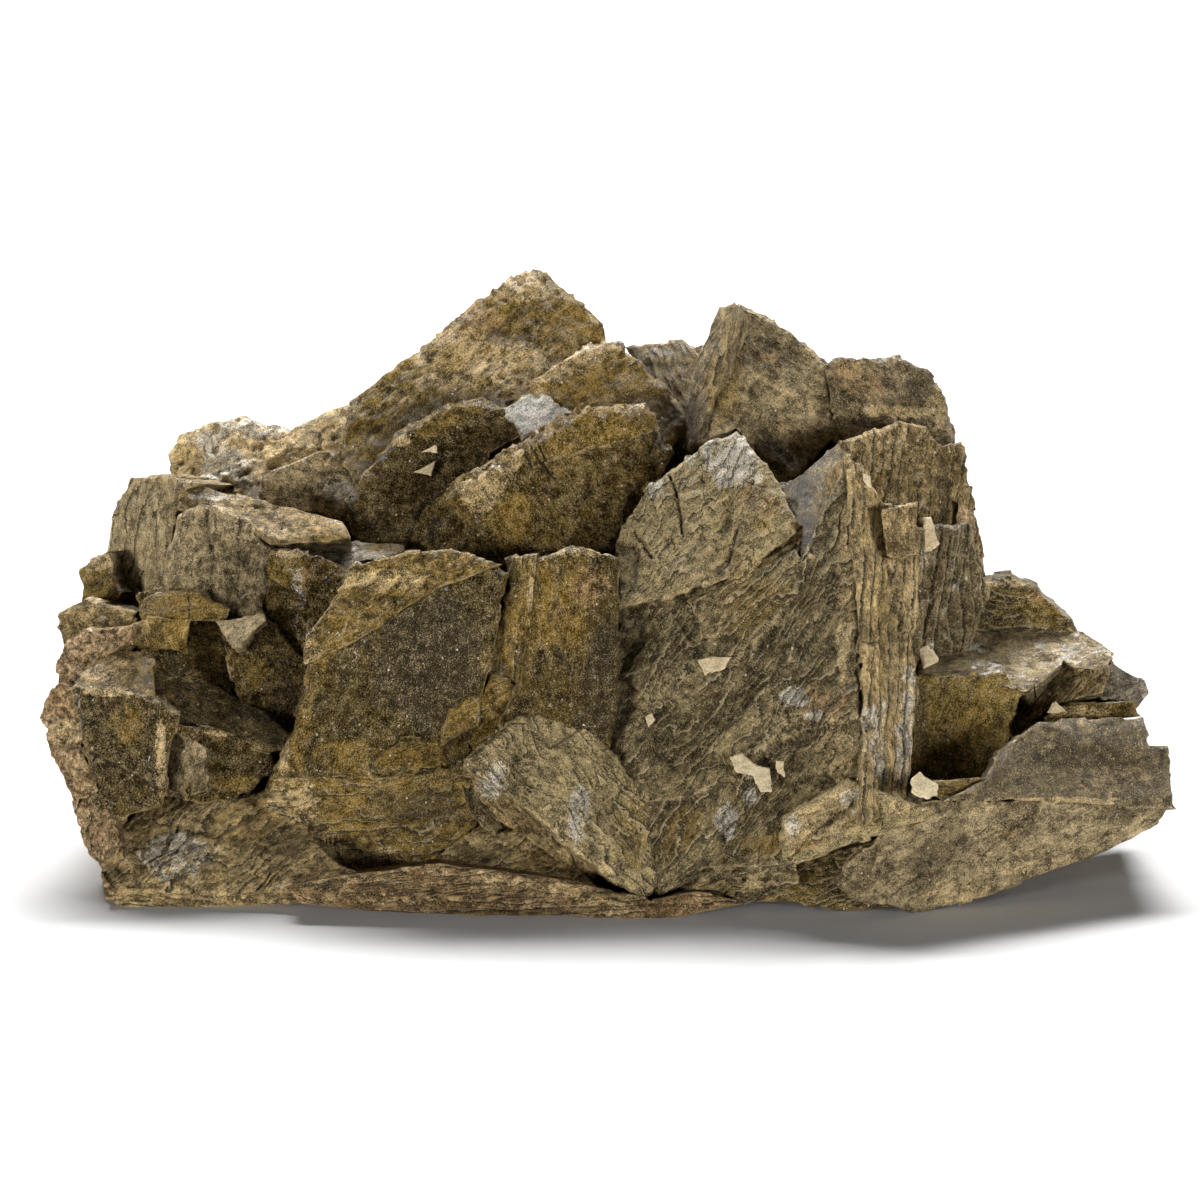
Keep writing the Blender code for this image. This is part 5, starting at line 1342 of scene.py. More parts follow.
def middle_blades():
    """The tall blade with its broken rind, the blade beside it and the low blade that leans on them."""
    crystal("tall_blade", [(-41.5, 17), (-39, 22.5), (-37, 29), (-37, 34.5), (-34, 38.5), (-31, 44),
        (-25, 45.5), (-18.5, 46), (-11.5, 43), (-13, 34.5), (-14.5, 28), (-16, 18)], 8, -8, 3, (0, -2, 18),
        1, "olive",
        relief=(rough(9, 0.6), crust(0.8, 0.06, 0.35), pits(1.4, 0.1, 0.3), rough(2.2, 0.25),
        within([(-29, 42.5, 9, 3.4)], crust(1.6, 0.35, 0.6))), lines=(3.4, 0.04, 0.9, "lips"), grain=70,
        tone=-0.7, stains=(("amber", [(-42, 16), (-38.6, 24), (-37, 30), (-34, 38), (-31, 41), (-32.6, 34),
        (-35.4, 27), (-37, 18)]), ("tan", -39.6, 21, 0.8, 5), ("dark", [(-27, 38), (-18, 41), (-14.4, 36),
        (-15, 27), (-22, 22), (-28, 28)]), ("amber", -32, 20, 5, 2.4)))
    crystal("tall_blade_rind", [(-37, 31.5), (-37, 35), (-34, 38.5), (-31, 44), (-25, 45.5), (-18.5, 46),
        (-12.5, 44), (-20, 41), (-25, 38), (-31, 34)], 7.2, -8, 3, (0, -1, 5), 0.6, "amber",
        relief=(crust(1, 0.21, 0.6), crust(2, 0.35, 0.5), pits(1.3, 0.3, 0.5)),
        lines=(1.4, 0.06, 1, "lips"), grain=25, tone=0.2,
        stains=(("tan", -28, 42, 8, 1.6), ("tan", -36, 34, 1.4, 4)))
    crystal("tall_blade_foot", [(-41.5, 17.5), (-16, 18.5), (-14, 14.5), (-15.5, 11), (-19, 8), (-21, 6),
        (-26, 5), (-32, 4.6), (-36.8, 6.4), (-40.8, 10.2), (-42.8, 14.5)], 10.2, -13, -20, (0, 2, 14), 0.9,
        "amber",
        relief=(crust(0.9, 0.08, 0.4), rough(3, 0.5), shelf([(-42, 17), (-30, 17.6), (-18, 18)], 0.5)),
        lines=(1.3, 0.24, 1.3, "lips"), grain=5, tone=0.5,
        stains=(("tan", [(-41.8, 16), (-36.4, 15), (-34.6, 10.5), (-29, 6), (-36, 6), (-41, 11)]), ("dark",
        [(-29, 16), (-17, 16), (-17, 11), (-27, 12)]), ("amber", -34, 17, 8, 1.2), ("tan", -28, 6.6, 9, 2),
        ("tan", -38.6, 11.8, 4, 9), ("tan", -37.4, 9.4, 5, 4)))
    crystal("face_ledge", [(-27, 20.5), (-24.5, 22), (-20, 22), (-20, 18.5), (-28, 18.5)], 6.6, -8, 3,
        (0, 0, 5), 0.4, "amber",
        under=0.3, lines=(1.3, 0.08, 0.6, "lips"), grain=10, tone=0.35,
        stains=(("amber", -24, 20, 4, 2),))
    crystal("mid_blade", [(-8, 45), (-2, 46.5), (2.5, 45), (2.5, 27), (1.5, 21), (-12, 21),
        (-12.5, 24.5), (-10, 29.5), (-9, 37)], 6.5, 8, 6, (-3.5, 0, 14), 0.8, "amber",
        relief=(cracks(3.6, 0.22, 85, 1.4), rough(3, 0.3)), lines=(2.4, 0.1, 0.7, "slats"), grain=87,
        tone=-1.05, stains=(("amber", [(-8.4, 44.6), (-1, 45.6), (-1.4, 40), (-2, 33), (-9.4, 33)]),
        ("tan", -3, 45.4, 5, 0.5), ("rust", -1, 41, 2.4, 3), ("dark", [(-1, 37), (3, 37), (3, 22), (-4, 22),
        (-2, 30)])))
    crystal("mid_blade_flank", [(-12, 44), (-8, 45), (-9, 37), (-10, 29), (-12.5, 27.5), (-15, 28),
        (-13, 34.5), (-11.5, 40.5)], 7.6, -18, 4, (1, 0, 14), 0.5, "amber",
        under=0.7, lines=(1, 0.13, 0.6, "slats"), grain=85, tone=-0.2,
        stains=(("amber", -11, 36, 3, 8), ("tan", -8.6, 38, 0.5, 6)))
    crystal("mid_blade_ledge", [(-19, 26), (-15, 28), (-13.5, 30), (-9.5, 29), (-9.5, 21), (-16, 18.5),
        (-20.5, 18.5), (-20.5, 22)], 6.2, 0, 0, (0, 0, 10), 0.7, "amber",
        relief=(plateau([(-19.3, 27.6), (-15, 27.6), (-15, 24), (-20, 21), (-20.5, 18)], 0.5, 0.3, 0.1),
        rough(2, 0.2)), lines=(1.6, 0.1, 0.7, "slats"), grain=28, tone=0.25,
        stains=(("amber", -17, 24.5, 4, 3),))
    crystal("low_blade", [(-16.8, 19.5), (-13.4, 22.6), (-10.2, 25.5), (-5.5, 24.7), (-1, 23.7),
        (3, 18.8), (6.6, 13.6), (7.8, 8), (7.5, 3.5), (6, 2), (3, 3.4), (-1, 6.5), (-5, 9.8), (-9.5, 13.7),
        (-13, 16.4), (-16.2, 17.9)], 2, 18, 22, (-2.4, -1.4, 14), 0.5, "bark",
        fine=1.2, relief=(plateau([(-15.5, 20), (-11.5, 24), (-8.8, 24), (-10.8, 19.4), (-12, 17)], 0.5),
        rough(3, 0.3), plateau([(-6, 21), (-2, 23.6), (3.6, 19.6), (2, 15), (-2, 12)], 0.45),
        cracks(3.4, 0.12, 40, 1.5)), lines=(1.5, 0.24, 1.2, "lips"), grain=132, tone=0.5,
        stains=(("tan", -13, 19, 2, 3), ("frost", -2.6, 12.5, 1.6, 4.5), ("tan", [(-9.4, 13), (-6.6, 14),
        (2, 5.6), (5.4, 2.6), (2.6, 3)]), ("rust", -6, 11, 3, 1), ("frost", -12.6, 17.4, 1.4, 2.2),
        ("amber", 4, 11, 2.4, 6)))
    crystal("low_blade_edge", [(-17, 19), (-16, 19.5), (-13, 16.5), (-9, 13), (-5, 9), (-0.5, 5.5),
        (-1, 3.5), (-7, 8), (-12.5, 11.5), (-15.5, 15)], 3.2, -20, -30, (1, 2, 12), 0.4, "tan",
        lines=(0.8, 0.13, 0.6, "slats"), grain=-48, tone=-0.1,
        stains=(("rust", -9, 11.6, 5, 1), ("frost", -14, 16, 2, 2)))
    crystal("hollow_wedge", [(-20, 7), (-16.5, 10), (-12.5, 12.5), (-6.5, 9.5), (-1, 3.5), (-10, 4),
        (-16, 5)], 6, -10, 20, (0, -2, 12), 0.4, "tan",
        under=0.8, relief=(rough(3, 0.3),), lines=(1, 0.2, 0.9, "lips"), grain=18, tone=-0.05,
        stains=(("dark", -14, 8, 4, 1.6),))
    crystal("thin_blade", [(-17.5, 17), (-16, 17), (-12, 11.5), (-13.5, 10.5), (-16, 13)], 5.5, 10, 10,
        (0, 0, 10), 0.3, "bark",
        under=0.5, lines=(1.2, 0.07, 0.4, "lips"), grain=-50, tone=-0.6)


def big_block():
    """The big shingled block right of the middle, its ribbed side and the plates on its shoulder."""
    crystal("shingled_face", [(2, 39.5), (18, 43), (25, 44.5), (30, 55.5), (31, 58), (32, 44.5),
        (32.5, 27), (33, 14.5), (23, 6.5), (12.5, 6), (7, 2.5), (3, 6), (1, 16), (1, 24)], 4, -22, 18,
        (-2, -6, 20), 0.6, "bark",
        fine=1.25, relief=(shelf([(7, 14), (12, 14.4), (17, 17.4), (23, 21.6), (26.5, 23), (33, 24.4)], 0.9,
        0.4, 0.5), plateau([(13, 34), (20, 45), (27, 45), (22, 36), (16, 31)], 0.6, 0.5, 0.5),
        plateau([(3, 30), (9, 38), (12, 33), (7, 26)], 0.5, 0.5, 0.4), plateau([(14, 21), (21, 29), (24, 24),
        (18, 17.6)], 0.5, 0.5, 0.4), rough(3, 0.25)), lines=(1.75, 0.3, 1.15, "lips"), grain=53, tone=-0.1,
        stains=(("frost", 24.6, 27.2, 2, 1.6), ("frost", 27, 25, 1.4, 0.9), ("tan", 29, 21, 3, 4), ("rust",
        [(26, 29.6), (28.4, 27.6), (32, 27), (30, 24), (26, 23.6), (25.2, 25.6)]),
        ("frost", 15.4, 12.4, 1.6, 3), ("frost", 18.4, 15.2, 1, 1.4), ("amber", [(7.6, 13.6), (12.6, 13.6),
        (12, 9), (7.8, 6.2)]), ("tan", 30.6, 40, 1.2, 12), ("amber", [(14, 35.6), (19, 43), (24, 44.4),
        (24.4, 40), (18, 34)]), ("amber", 24, 9, 8, 2)))
    crystal("block_top_facet", [(22, 54), (25, 55.5), (30, 59.5), (31.5, 58), (30, 52), (27, 44.5),
        (25, 44), (24, 50.5)], 14, -12, 35, (0, -3, 16), 0.5, "bark",
        lines=(1.2, 0.16, 0.7, "slats"), grain=62,
        stains=(("amber", 28, 52, 2, 5), ("tan", 30.8, 54, 0.8, 5)))
    crystal("top_plate", [(1.5, 45.5), (3, 49.5), (6, 54), (11, 58), (17, 61), (20, 57.5), (24.5, 50),
        (24.5, 48), (18, 43), (11, 40.5), (2, 38.5)], 11.6, -18, 22, (1, -2, 14), 0.8, "bark",
        fine=1.3, relief=(groove([(8.6, 55.2), (9.6, 52.6), (10.3, 48)], 0.35, 0.5), groove([(4.2, 48),
        (6.4, 44.8)], 0.35, 0.5), groove([(17.2, 48.4), (16, 44.6)], 0.35, 0.5), cracks(2.6, 0.2, 40, 1.4),
        rough(3, 0.35), plateau([(12.3, 58.7), (14.5, 62), (17, 62), (20.6, 57), (20.4, 54.7), (15, 53.3),
        (13, 54.6)], 0.4), plateau([(17, 54.6), (24.6, 52), (24.6, 47), (19, 44.4), (16.4, 46)], 0.4)),
        lines=(1.9, 0.16, 1, "lips"), grain=47, tone=0.6,
        stains=(("frost", [(12.3, 58.7), (14.5, 61.4), (16.8, 62), (19.4, 59.6), (20.2, 57), (20.4, 54.7),
        (17.7, 53.8), (15, 53.3), (13.4, 55.2)]), ("frost", 10.8, 58.4, 1.2, 2), ("rust", [(17.4, 54),
        (23, 51.6), (23.4, 49.4), (20, 50.2), (17.4, 50.8)]), ("amber", 20, 49, 1.2, 1.6),
        ("rust", 9.7, 57.6, 1.2, 1), ("frost", 7, 53.6, 1, 1.6), ("tan", 17, 44, 6, 0.7)))
    crystal("second_plate", [(17, 42.5), (24.5, 46), (25, 44), (23, 41), (19, 38.5), (15, 35),
        (12.5, 34.5), (11, 39.5)], 6.9, -22, 18, (0, -1, 8), 0.5, "bark",
        lines=(1.4, 0.26, 1, "lips"), grain=50, tone=0.2,
        stains=(("amber", 19, 40, 5, 3),))
    crystal("ribbed_side", [(31, 58), (33, 56.5), (35.5, 52), (40, 51), (40, 44.5), (39.5, 34.5),
        (40, 28), (39, 18), (38.5, 14), (33, 11), (33, 27), (32, 44.5)], 4.6, 48, 21, (-6, -2, 18), 0.5,
        "tan",
        relief=(plateau([(35.4, 44.6), (40, 46), (40, 36), (37.6, 35.4), (37.4, 40)], 0.6), rough(4, 0.3),
        plateau([(32.6, 34), (34.8, 34), (34.8, 22), (33.4, 22.6)], 0.5)), lines=(1.2, 0.26, 0.1, "slats"),
        grain=88, tone=0.1, stains=(("frost", [(32.2, 26), (35.2, 26.4), (35.6, 17), (34.6, 17)]), ("frost",
        [(37.6, 31), (39.8, 31), (38.8, 17), (37.4, 17)]), ("rust", 34, 27.6, 1.4, 1.2),
        ("amber", 35.2, 36, 0.7, 9), ("tan", 38.6, 40, 0.6, 9), ("dark", [(35.6, 40), (36.8, 40), (36.6, 24),
        (35.8, 24)]), ("amber", [(33.4, 56), (36, 52), (37.4, 44), (35.6, 44), (34, 50)])))
    crystal("amber_cube", [(35.5, 51), (40, 52), (40, 45), (36, 45)], 6.5, 30, 10, (0, 0, 12), 0.5,
        "tan",
        lines=(1.2, 0.08, 0.4, "slats"), grain=86, tone=-0.35,
        stains=(("tan", 38, 51.4, 3, 0.4),))
    crystal("corner_block", [(22.5, 12.5), (31, 17.5), (38, 14.5), (41.5, 13.5), (40.5, 12), (33, 9.5),
        (24.5, 6.5), (22.5, 6.5)], -5.5, -10, 5, (2, 0, 20), 0.6, "bark",
        relief=(rough(3, 0.3), cracks(4.4, 0.15, 75, 1.6)), lines=(2.4, 0.1, 0.8, "lips"), grain=24,
        tone=1.2, stains=(("tan", [(23, 8), (23, 12.6), (27, 15), (33, 17), (33, 12), (26, 9)]),
        ("frost", 32, 14.4, 2.4, 1.6), ("frost", 24.2, 11.4, 1, 1.8), ("rust", 25.4, 9.4, 2.6, 1.4),
        ("tan", 37, 13.4, 3, 1), ("amber", 33, 12.6, 3, 2)))
    crystal("block_foot", [(7, 3.5), (12.5, 6.5), (23, 7), (24.5, 6.5), (25, 4), (18, 1.5), (12.5, 3)],
        0.6, -20, -20, (0, 3, 18), 0.4, "bark",
        relief=(rough(2, 0.3),), lines=(0.9, 0.14, 0.8, "slats"), grain=14,
        stains=(("tan", 16, 4, 8, 0.8),))
    crystal("plate_edge", [(16, 43), (24.6, 50), (25.6, 48), (25, 45), (18, 40.5)], 8.4, 20, -5,
        (-1, 1, 8), 0.4, "tan",
        relief=(rough(2, 0.3),), lines=(0.8, 0.25, 0.6, "slats"), grain=42, tone=-0.1)


def right_end():
    """The ribbed column below the shoulder and the slabs and blades of the right end."""
    crystal("ribbed_column", [(30, 59.5), (34, 60.5), (37.5, 62), (41, 61.5), (43, 58.5), (45.5, 59.5),
        (47, 52), (48, 46), (48.5, 42.5), (42.5, 39.5), (38, 44.5), (35, 52), (31, 57.5)], 24, 35, 5,
        (-2, 0, 18), 0.6, "tan",
        relief=(crust(1.1, 0.24, 0.6), pits(1.3, 0.25, 0.4), crust(0.7, 0.07, 0.4)),
        lines=(1.3, 0.42, 0.3, "slats"), grain=80, tone=-0.3,
        stains=(("tan", 34, 59.6, 5, 1.4), ("dark", 39, 49, 1, 6), ("dark", 43, 52, 1, 6)))
    crystal("column_rust", [(45, 52), (47, 50.5), (48.5, 42.5), (45.5, 42), (44.5, 47)], 27, 50, 0,
        (-2, 0, 14), 0.4, "rust",
        relief=(crust(1.3, 0.21, 0.7),))
    crystal("right_ledge", [(42.5, 39), (44, 41), (48, 42), (51.5, 42.5), (54.5, 41), (59, 37),
        (60, 34.5), (50, 35.5), (45, 35), (43, 36.5)], 18, 10, -5, (0, 1, 18), 0.6, "olive",
        relief=(crust(0.8, 0.07, 0.4), rough(3, 0.3)), lines=(1.1, 0.26, 0.7, "slats"), grain=-4, tone=-0.1,
        stains=(("amber", 56, 38, 3, 2.4), ("tan", 50, 41.6, 6, 0.5), ("rust", 55, 40, 2, 1),
        ("tan", 57, 35.4, 3, 0.6)))
    crystal("right_slab_top", [(40, 30), (40.5, 34), (45, 36.5), (60, 35.5), (64, 33), (63, 31),
        (57.5, 31.5), (53, 28.5), (50, 29.5)], 13.5, 5, 60, (0, -3, 10), 0.3, "grey_brown",
        under=0.5, relief=(rough(3, 0.2),), lines=(0.9, 0.06, 0.8, "lips"), grain=3,
        stains=(("frost", 46, 33.5, 4, 0.6), ("tan", 42, 34.5, 3, 0.6)))
    crystal("right_slab", [(40, 29.5), (50, 29.5), (52.5, 28), (51, 24.5), (50, 20), (48, 15.6),
        (42.5, 15.6), (39, 17)], 7.6, 5, 4, (0, 1, 18), 0.6, "olive",
        under=1, relief=(pits(1, 0.08, 0.3), rough(3, 0.25)), lines=(2.6, 0.05, 0.7, "lips"), grain=62,
        tone=0.65, stains=(("dark", 40.2, 24, 1.1, 5), ("amber", 46, 24, 3, 3)))
    crystal("right_wedge", [(52.5, 28), (57.5, 31.5), (63, 31), (62.5, 28), (56, 26.5), (53.5, 22.5),
        (50, 21)], 14, -30, 20, (0, -2, 14), 0.3, "tan",
        under=0.6, relief=(crust(0.9, 0.1, 0.4),), lines=(0.9, 0.23, 0.6, "slats"), grain=50, tone=-0.35,
        stains=(("rust", 54, 27, 1.4, 2), ("dark", 57, 29, 3, 1.4)))
    crystal("grey_tip", [(62, 30.5), (64, 32), (68, 29.5), (68.5, 28), (66.5, 25.5), (62, 28)], 15, 10,
        20, (-3, -1, 14), 0.4, "pale_grey",
        lines=(1.4, 0.07, 0.5, "lips"), grain=20, tone=-0.4)
    crystal("thin_plate", [(56, 25), (57.5, 26.5), (67, 27), (67.5, 25), (55, 23.5)], 12, 8, 10,
        (-2, 0, 12), 0.3, "amber",
        lines=(0.7, 0.08, 0.6, "slats"), grain=2,
        stains=(("tan", 60, 25.4, 5, 0.8),))
    crystal("right_blade", [(48, 17), (50, 21), (55, 24.5), (68, 25), (69, 21.5), (71.5, 21.5),
        (72, 13.5), (52.5, 14.5), (43, 14.5)], 3.4, 23, 25, (-4, -1, 22), 0.5, "grey_brown",
        relief=(pits(1, 0.06, 0.3), rough(3, 0.2)), lines=(2.2, 0.06, 0.8, "lips"), grain=10, tone=-0.45,
        stains=(("tan", 58, 14.4, 13, 0.5), ("dark", 60, 20, 6, 2)))
    crystal("right_blade_under", [(43, 14.5), (52.5, 14.5), (71.5, 13.5), (70, 11.5), (65.5, 9), (61, 7),
        (54, 4.5), (50, 2.5), (43.5, 1), (39.5, 0), (36, 1.2), (32.5, 1.6), (29.5, 3.4), (31, 6.5),
        (34.5, 9), (37.5, 12), (40.4, 14.2)], 0.5, 23, -25, (-4, 4, 18), 0.5, "grey_brown",
        relief=(cracks(5, 0.2, 20, 1.5), groove([(55, 13.8), (48, 7.4)], 0.3, 0.25), rough(3, 0.3)),
        lines=(2.6, 0.07, 0.8, "lips"), grain=22, tone=0.05,
        stains=(("rust", 51.5, 10.4, 1, 0.8), ("tan", 56, 6, 9, 1.2), ("tan", 44, 3, 5, 1.6), ("dark",
        [(37, 7), (44, 12), (47, 9), (40, 3)])))
    crystal("right_blade_strip", [(40.5, 15.5), (42, 17), (52, 17.5), (53, 14.5), (43, 14.5)], -2.5, 23,
        15, (0, 0, 18), 0.3, "amber",
        lines=(0.6, 0.08, 0.5, "slats"), grain=2, tone=0.3)
    crystal("hollow_right", [(38, 48), (46, 48), (48, 40), (46, 34), (45, 27), (38, 27)], 14.5, 20, 6,
        (0, 0, 12), 0.6, "grey_brown",
        under=1, relief=(rough(3, 0.6),), lines=(1.4, 0.35, 0.6, "slats"), grain=84, tone=-0.3)


def base_layers():
    """The layered slabs under the front."""
    crystal("bottom_slab", [(-39.5, 3.5), (-32, 5), (-20, 6.5), (-5, 4.5), (6, 2), (12.5, 3), (18, 1.5),
        (6.5, -1), (-5, 0), (-16, 0), (-28, 0.5), (-37.5, 1.5)], -1.5, 0, -10, (0, 3, 44), 0.5, "rust",
        relief=(rough(3, 0.4), crust(0.9, 0.07, 0.4)), lines=(1.1, 0.26, 0.5, "slats"), grain=1, tone=-0.5,
        stains=(("tan", [(-18, 6), (2, 3.4), (8, 2), (4, 1), (-12, 3.4)]), ("tan", -32, 4.4, 8, 0.6),
        ("rust", -26, 2.4, 3, 1)))
    crystal("bottom_layers", [(24.5, 6.5), (33, 9.5), (41, 12.5), (38, 9.5), (35, 5.5), (37, 1),
        (29, 0.5), (25, 1.5), (18, 1.5), (12.5, 3.5)], -1, -5, -25, (0, 3, 24), 0.4, "olive",
        relief=(rough(3, 0.3), crust(0.9, 0.07, 0.4)), lines=(0.8, 0.26, 0.8, "slats"), grain=14,
        stains=(("tan", 33, 8, 6, 0.6), ("dark", 36, 3, 4, 3)))


BACK_UPPER = (
    ("back_left_blade", (-38, 74, 22), 205, 14, -20, (34, 28, 16, 12),
     "grey_brown", (1.8, 0.35, "lips"), 20, 0.1),
    ("back_middle_blade", (-9, 81, 21), 182, 8, 16, (34, 32, 18, 14),
     "olive", (2.4, 0.2, "slats"), 50, 0),
    ("back_right_blade", (20, 79, 23), 168, 12, -12, (30, 36, 18, 10),
     "dark_amber", (2, 0.3, "lips"), 75, 0),
    ("back_peak_face", (-10, 68, 50), 186, 28, -8, (30, 26, 16, 18),
     "amber", (1.8, 0.35, "lips"), 25, 0.1),
    ("back_right_peak_face", (20, 66, 48), 168, 24, 14, (26, 28, 16, 12),
     "grey_brown", (1.8, 0.3, "lips"), -40, 0.1),
    ("back_shoulder", (38, 62, 40), 148, 28, -14, (22, 22, 14, 10), "olive", (2, 0.25, "slats"), 20, 0),
    ("back_left_top", (-38, 68, 38), 202, 40, 10, (30, 20, 14, 16), "tan", (2, 0.3, "lips"), 10, -0.1),
    ("left_end_upper", (-58, 56, 30), 248, 22, -14, (24, 22, 16, 12),
     "grey_brown", (1.8, 0.3, "slats"), 80, 0.1),
    ("back_edge_blade_left", (-24, 76, 34), 120, 10, 24, (20, 26, 7, 14),
     "dark_amber", (2.2, 0.2, "lips"), 60, 0.1),
    ("back_edge_blade_middle", (6, 78, 36), 215, 18, -30, (24, 22, 8, 16),
     "amber", (2, 0.2, "slats"), 45, 0.1),
    ("back_edge_blade_right", (32, 74, 30), 205, 12, 28, (18, 24, 7, 12),
     "olive", (2, 0.2, "lips"), -50, 0.1),
)


def back_upper():
    """The crystals of the upper back."""
    for row in BACK_UPPER:
        back_crystal(*row)


BACK_LOWER = (
    ("back_corner_blade", (44, 68, 15), 142, 6, 20, (26, 26, 16, 14),
     "grey_brown", (2.2, 0.3, "lips"), 30, 0),
    ("back_low_left", (-50, 66, 8), 222, -4, 8, (28, 20, 18, 12), "olive", (1.6, 0.35, "slats"), 5, 0),
    ("back_low_middle", (-24, 84, 7), 192, -6, -6, (30, 18, 18, 16),
     "grey_brown", (1.4, 0.4, "slats"), 5, 0),
    ("back_low_right", (8, 85, 7), 176, -5, 5, (30, 18, 18, 12), "tan", (1.6, 0.35, "slats"), 0, -0.2),
    ("back_low_corner", (34, 78, 7), 156, -5, -8, (26, 18, 18, 14),
     "dark_amber", (1.8, 0.3, "lips"), -5, 0.1),
    ("right_end_upper", (45, 58, 27), 112, 18, 18, (22, 20, 14, 12),
     "grey_brown", (1.8, 0.35, "slats"), 75, 0.1),
    ("right_end_lower", (60, 54, 13), 104, 8, -10, (26, 20, 18, 14), "amber", (1.6, 0.35, "slats"), 0, 0),
    ("back_low_blade", (-6, 81, 16), 138, 12, -34, (16, 20, 7, 14), "tan", (1.8, 0.2, "lips"), 50, -0.1),
    ("left_end_lower", (-62, 52, 13), 258, 6, 10, (24, 22, 18, 14), "rust", (1.8, 0.3, "lips"), 80, 0),
)


def back_lower():
    """The crystals low on the back and at the two ends."""
    for row in BACK_LOWER:
        back_crystal(*row)


def matrix_lumps():
    """The massive siderite that the crystals grew from, seen only in the hollows between them."""
    lump("matrix_body", (-5, 46, 16), (54, 30, 26))
    lump("matrix_left", (-40, 50, 20), (22, 20, 24))
    lump("matrix_peak", (-10, 56, 36), (19, 12, 24))
    lump("matrix_right_peak", (20, 54, 36), (18, 14, 26))
    lump("matrix_shoulder", (35, 54, 28), (14, 14, 26))
    lump("matrix_right", (46, 44, 12), (20, 20, 15))


def calcite_chips():
    """The pale chips on the faces."""
    chip("calcite_flake_large", [(16, 20), (17.5, 20.5), (19.5, 19), (21, 18.5), (21.5, 15.5),
        (20, 15.5), (19, 17.5), (17, 18)], "shingled_face", 0.9,
        lift=0.8)
    chip("calcite_flake_small", [(22, 19.5), (23, 19.5), (23, 17.5), (22, 18)], "shingled_face", 0.8,
        lift=0.7)
    chip("calcite_flake_golden", [(12, 32), (13.5, 32.5), (16.5, 32.5), (15.5, 31), (13, 30)],
        "shingled_face", 0.8,
        lift=0.75)
    chip("calcite_grain", [(5.5, 25), (6.5, 25.5), (7, 24.5), (6, 23.5)], "shingled_face", 0.8, lift=0.7)
    chip("calcite_block", [(39, 17), (40, 18), (42.5, 16.5), (42.5, 15), (41, 14.5), (39, 15.5)],
        "right_blade_strip", 2.2)
    chip("calcite_cube", [(40, 33.5), (41, 34), (42.5, 32), (40.5, 31)], "right_slab", 2, lift=-2)
    chip("calcite_splinter", [(40.5, 50), (41.5, 50), (42.5, 46.5), (41.5, 45.5), (40.5, 45.5)],
        "amber_cube", 1.2,
        lift=-2)
    chip("calcite_chip_upper", [(33, 55.5), (34, 55), (34, 53.5), (33, 54.5)], "ribbed_side", 0.8, lift=0.6)
    chip("calcite_chip_right", [(56, 25.5), (57, 27), (58.5, 25.5)], "thin_plate", 1)
    chip("calcite_streak_upper", [(-22.5, 58), (-20.5, 59), (-20.5, 58)], "dark_blade", 0.6)
    chip("calcite_streak_lower", [(-23.5, 55.5), (-20.5, 57), (-21, 55)], "dark_blade", 0.6)


# ---------------------------------------------------------------- stage


def lamp(name, place, size, power):
    """A rectangular soft light at a place in metres, turned to shine at the specimen."""
    data = bpy.data.lights.new(name, "AREA")
    data.shape = "RECTANGLE"
    data.size, data.size_y = size
    data.energy = power
    made = bpy.data.objects.new(name, data)
    bpy.context.scene.collection.objects.link(made)
    made.location = place
    made.rotation_euler = (Vector(LAMP_AIM) - Vector(place)).to_track_quat("-Z", "Y").to_euler()


def lay_floor():
    """A wide pale floor: a disc of rings, whose heights are all 0."""
    turn = np.linspace(0, 2 * math.pi, FLOOR_SIDES, endpoint=False)
    points = np.concatenate([
        [[0, 0, 0]], *(np.stack([r * np.cos(turn), r * np.sin(turn), 0 * turn], -1) for r in FLOOR_RINGS)
    ]) / MM
    index = 1 + np.arange(len(FLOOR_RINGS) * FLOOR_SIDES).reshape(-1, FLOOR_SIDES)
    after = np.roll(index, -1, axis=1)
    middle = np.stack([np.zeros(FLOOR_SIDES, int), index[0], after[0]], -1)
    quads = np.stack([index[:-1], index[1:], after[1:], after[:-1]], -1).reshape(-1, 4)
    mesh = make_mesh("floor", points, [middle, quads], "floor", {})
    floor = bpy.data.objects.new("floor", mesh)
    bpy.context.scene.collection.objects.link(floor)


def floor_material():
    """The floor's material: its colour with a fine, faint tooth."""
    shader = Shader("floor")
    place = shader.node("ShaderNodeTexCoord", {}, output=3)
    tooth = shader.noise(place, 900, 3)
    floor = tuple(bpy.context.scene.siderite_colours.floor)
    base = shader.mix((tooth * 0.05).clamped(), floor, tuple(0.94 * c for c in floor))
    shader.feed(shader.surface.inputs["Base Color"], base)
    shader.feed(shader.surface.inputs["Roughness"], tooth * 0.1 + 0.8)
    return shader.material


def set_stage():
    """The floor, the lights and the camera."""
    lay_floor()
    world = bpy.data.worlds.new("studio")
    world.use_nodes = True
    world.node_tree.nodes["Background"].inputs["Color"].default_value = (1, 1, 1, 1)
    world.node_tree.nodes["Background"].inputs["Strength"].default_value = WORLD_STRENGTH
    scene = bpy.context.scene
    scene.world = world
    scene.view_settings.view_transform = "Standard"
    for name, settings in LAMPS.items():
        lamp(name, *settings)
    data = bpy.data.cameras.new("camera")
    data.sensor_width = SENSOR_WIDTH
    data.lens = SENSOR_WIDTH * EYE_DISTANCE / VIEW_WIDTH
    data.clip_start = CLIP_START
    camera = bpy.data.objects.new("camera", data)
    scene.collection.objects.link(camera)
    camera.location = Vector(from_board(0, EYE_UP, -EYE_DISTANCE)) * MM
    camera.rotation_euler = (math.pi / 2 - BOARD_LEAN, 0, 0)
    scene.camera = camera


# ---------------------------------------------------------------- add-on


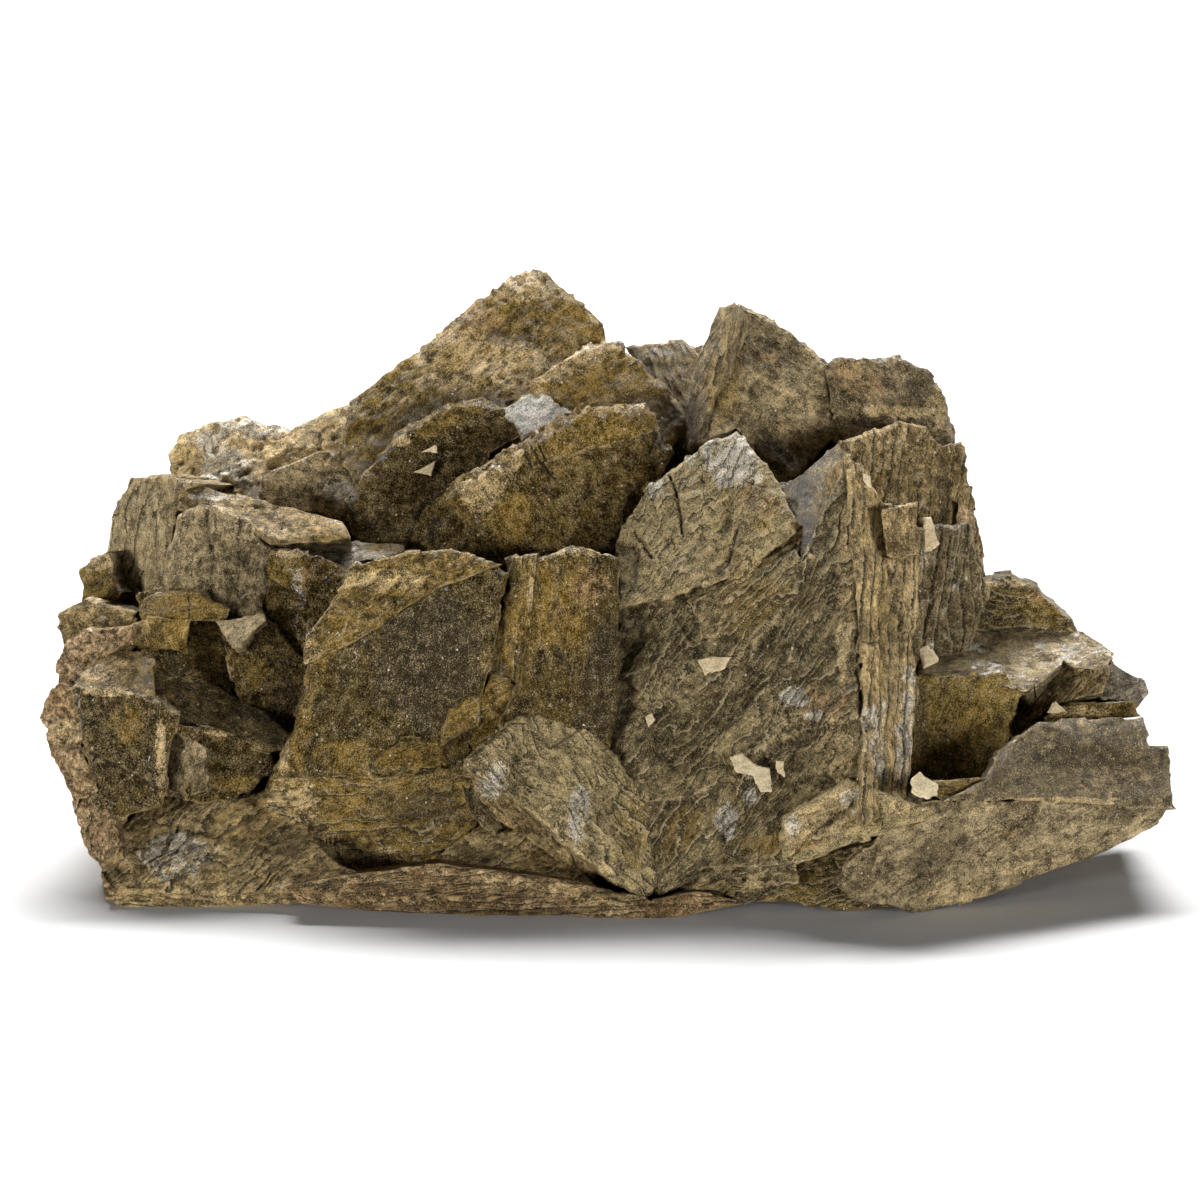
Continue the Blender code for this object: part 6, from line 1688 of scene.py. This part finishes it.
def region_operator(build, label):
    """The Operator of one region: it calls build, which draws the crystals, and joins them in one mesh."""

    class Grow(bpy.types.Operator):
        """Grows the crystals of one region."""

        bl_idname = "siderite." + build.__name__
        bl_label = label

        def execute(self, context):
            build()
            grow("siderite_" + build.__name__)
            return {"FINISHED"}

    Grow.__doc__ = build.__doc__
    return Grow


class LayChips(bpy.types.Operator):
    """Lays the pale calcite chips on the faces."""

    bl_idname = "siderite.calcite_chips"
    bl_label = "Calcite chips"

    def execute(self, context):
        calcite_chips()
        return {"FINISHED"}


class SetStage(bpy.types.Operator):
    """Lays the floor and sets the lights and the camera."""

    bl_idname = "siderite.stage"
    bl_label = "Stage"

    def execute(self, context):
        set_stage()
        return {"FINISHED"}


REGIONS = {
    left_end: "Left end",
    upper_left: "Upper left mass",
    summit: "Peaks",
    middle_blades: "Middle blades",
    big_block: "Shingled block",
    right_end: "Right end",
    base_layers: "Base layers",
    back_upper: "Upper back",
    back_lower: "Lower back",
    matrix_lumps: "Matrix",
}
PIECES = [*(region_operator(*region) for region in REGIONS.items()), LayChips, SetStage]


class SideritePanel(bpy.types.Panel):
    """The sizes, the colours and the pieces of the specimen."""

    bl_idname = "VIEW3D_PT_siderite"
    bl_label = "Siderite specimen"
    bl_space_type = "VIEW_3D"
    bl_region_type = "UI"
    bl_category = "Siderite"

    def draw(self, context):
        for settings in (context.scene.siderite_shape, context.scene.siderite_colours):
            for key in settings.bl_rna.properties.keys():
                if key not in ("name", "rna_type"):
                    self.layout.prop(settings, key)
        for piece in PIECES:
            self.layout.operator(piece.bl_idname)


CLASSES = (SideriteShape, SideriteColours, *PIECES, SideritePanel)


def register():
    """Registers the classes and hangs the settings on the scene."""
    for kind in CLASSES:
        bpy.utils.register_class(kind)
    bpy.types.Scene.siderite_shape = bpy.props.PointerProperty(type=SideriteShape)
    bpy.types.Scene.siderite_colours = bpy.props.PointerProperty(type=SideriteColours)


def unregister():
    """Takes away what register has added."""
    del bpy.types.Scene.siderite_shape
    del bpy.types.Scene.siderite_colours
    for kind in reversed(CLASSES):
        bpy.utils.unregister_class(kind)


def main():
    """Grows every piece in order, and writes the sizes of the model and of what was grown."""
    register()
    for piece in PIECES:
        getattr(bpy.ops.siderite, piece.bl_idname.split(".")[1])()


if __name__ == "__main__":
    main()
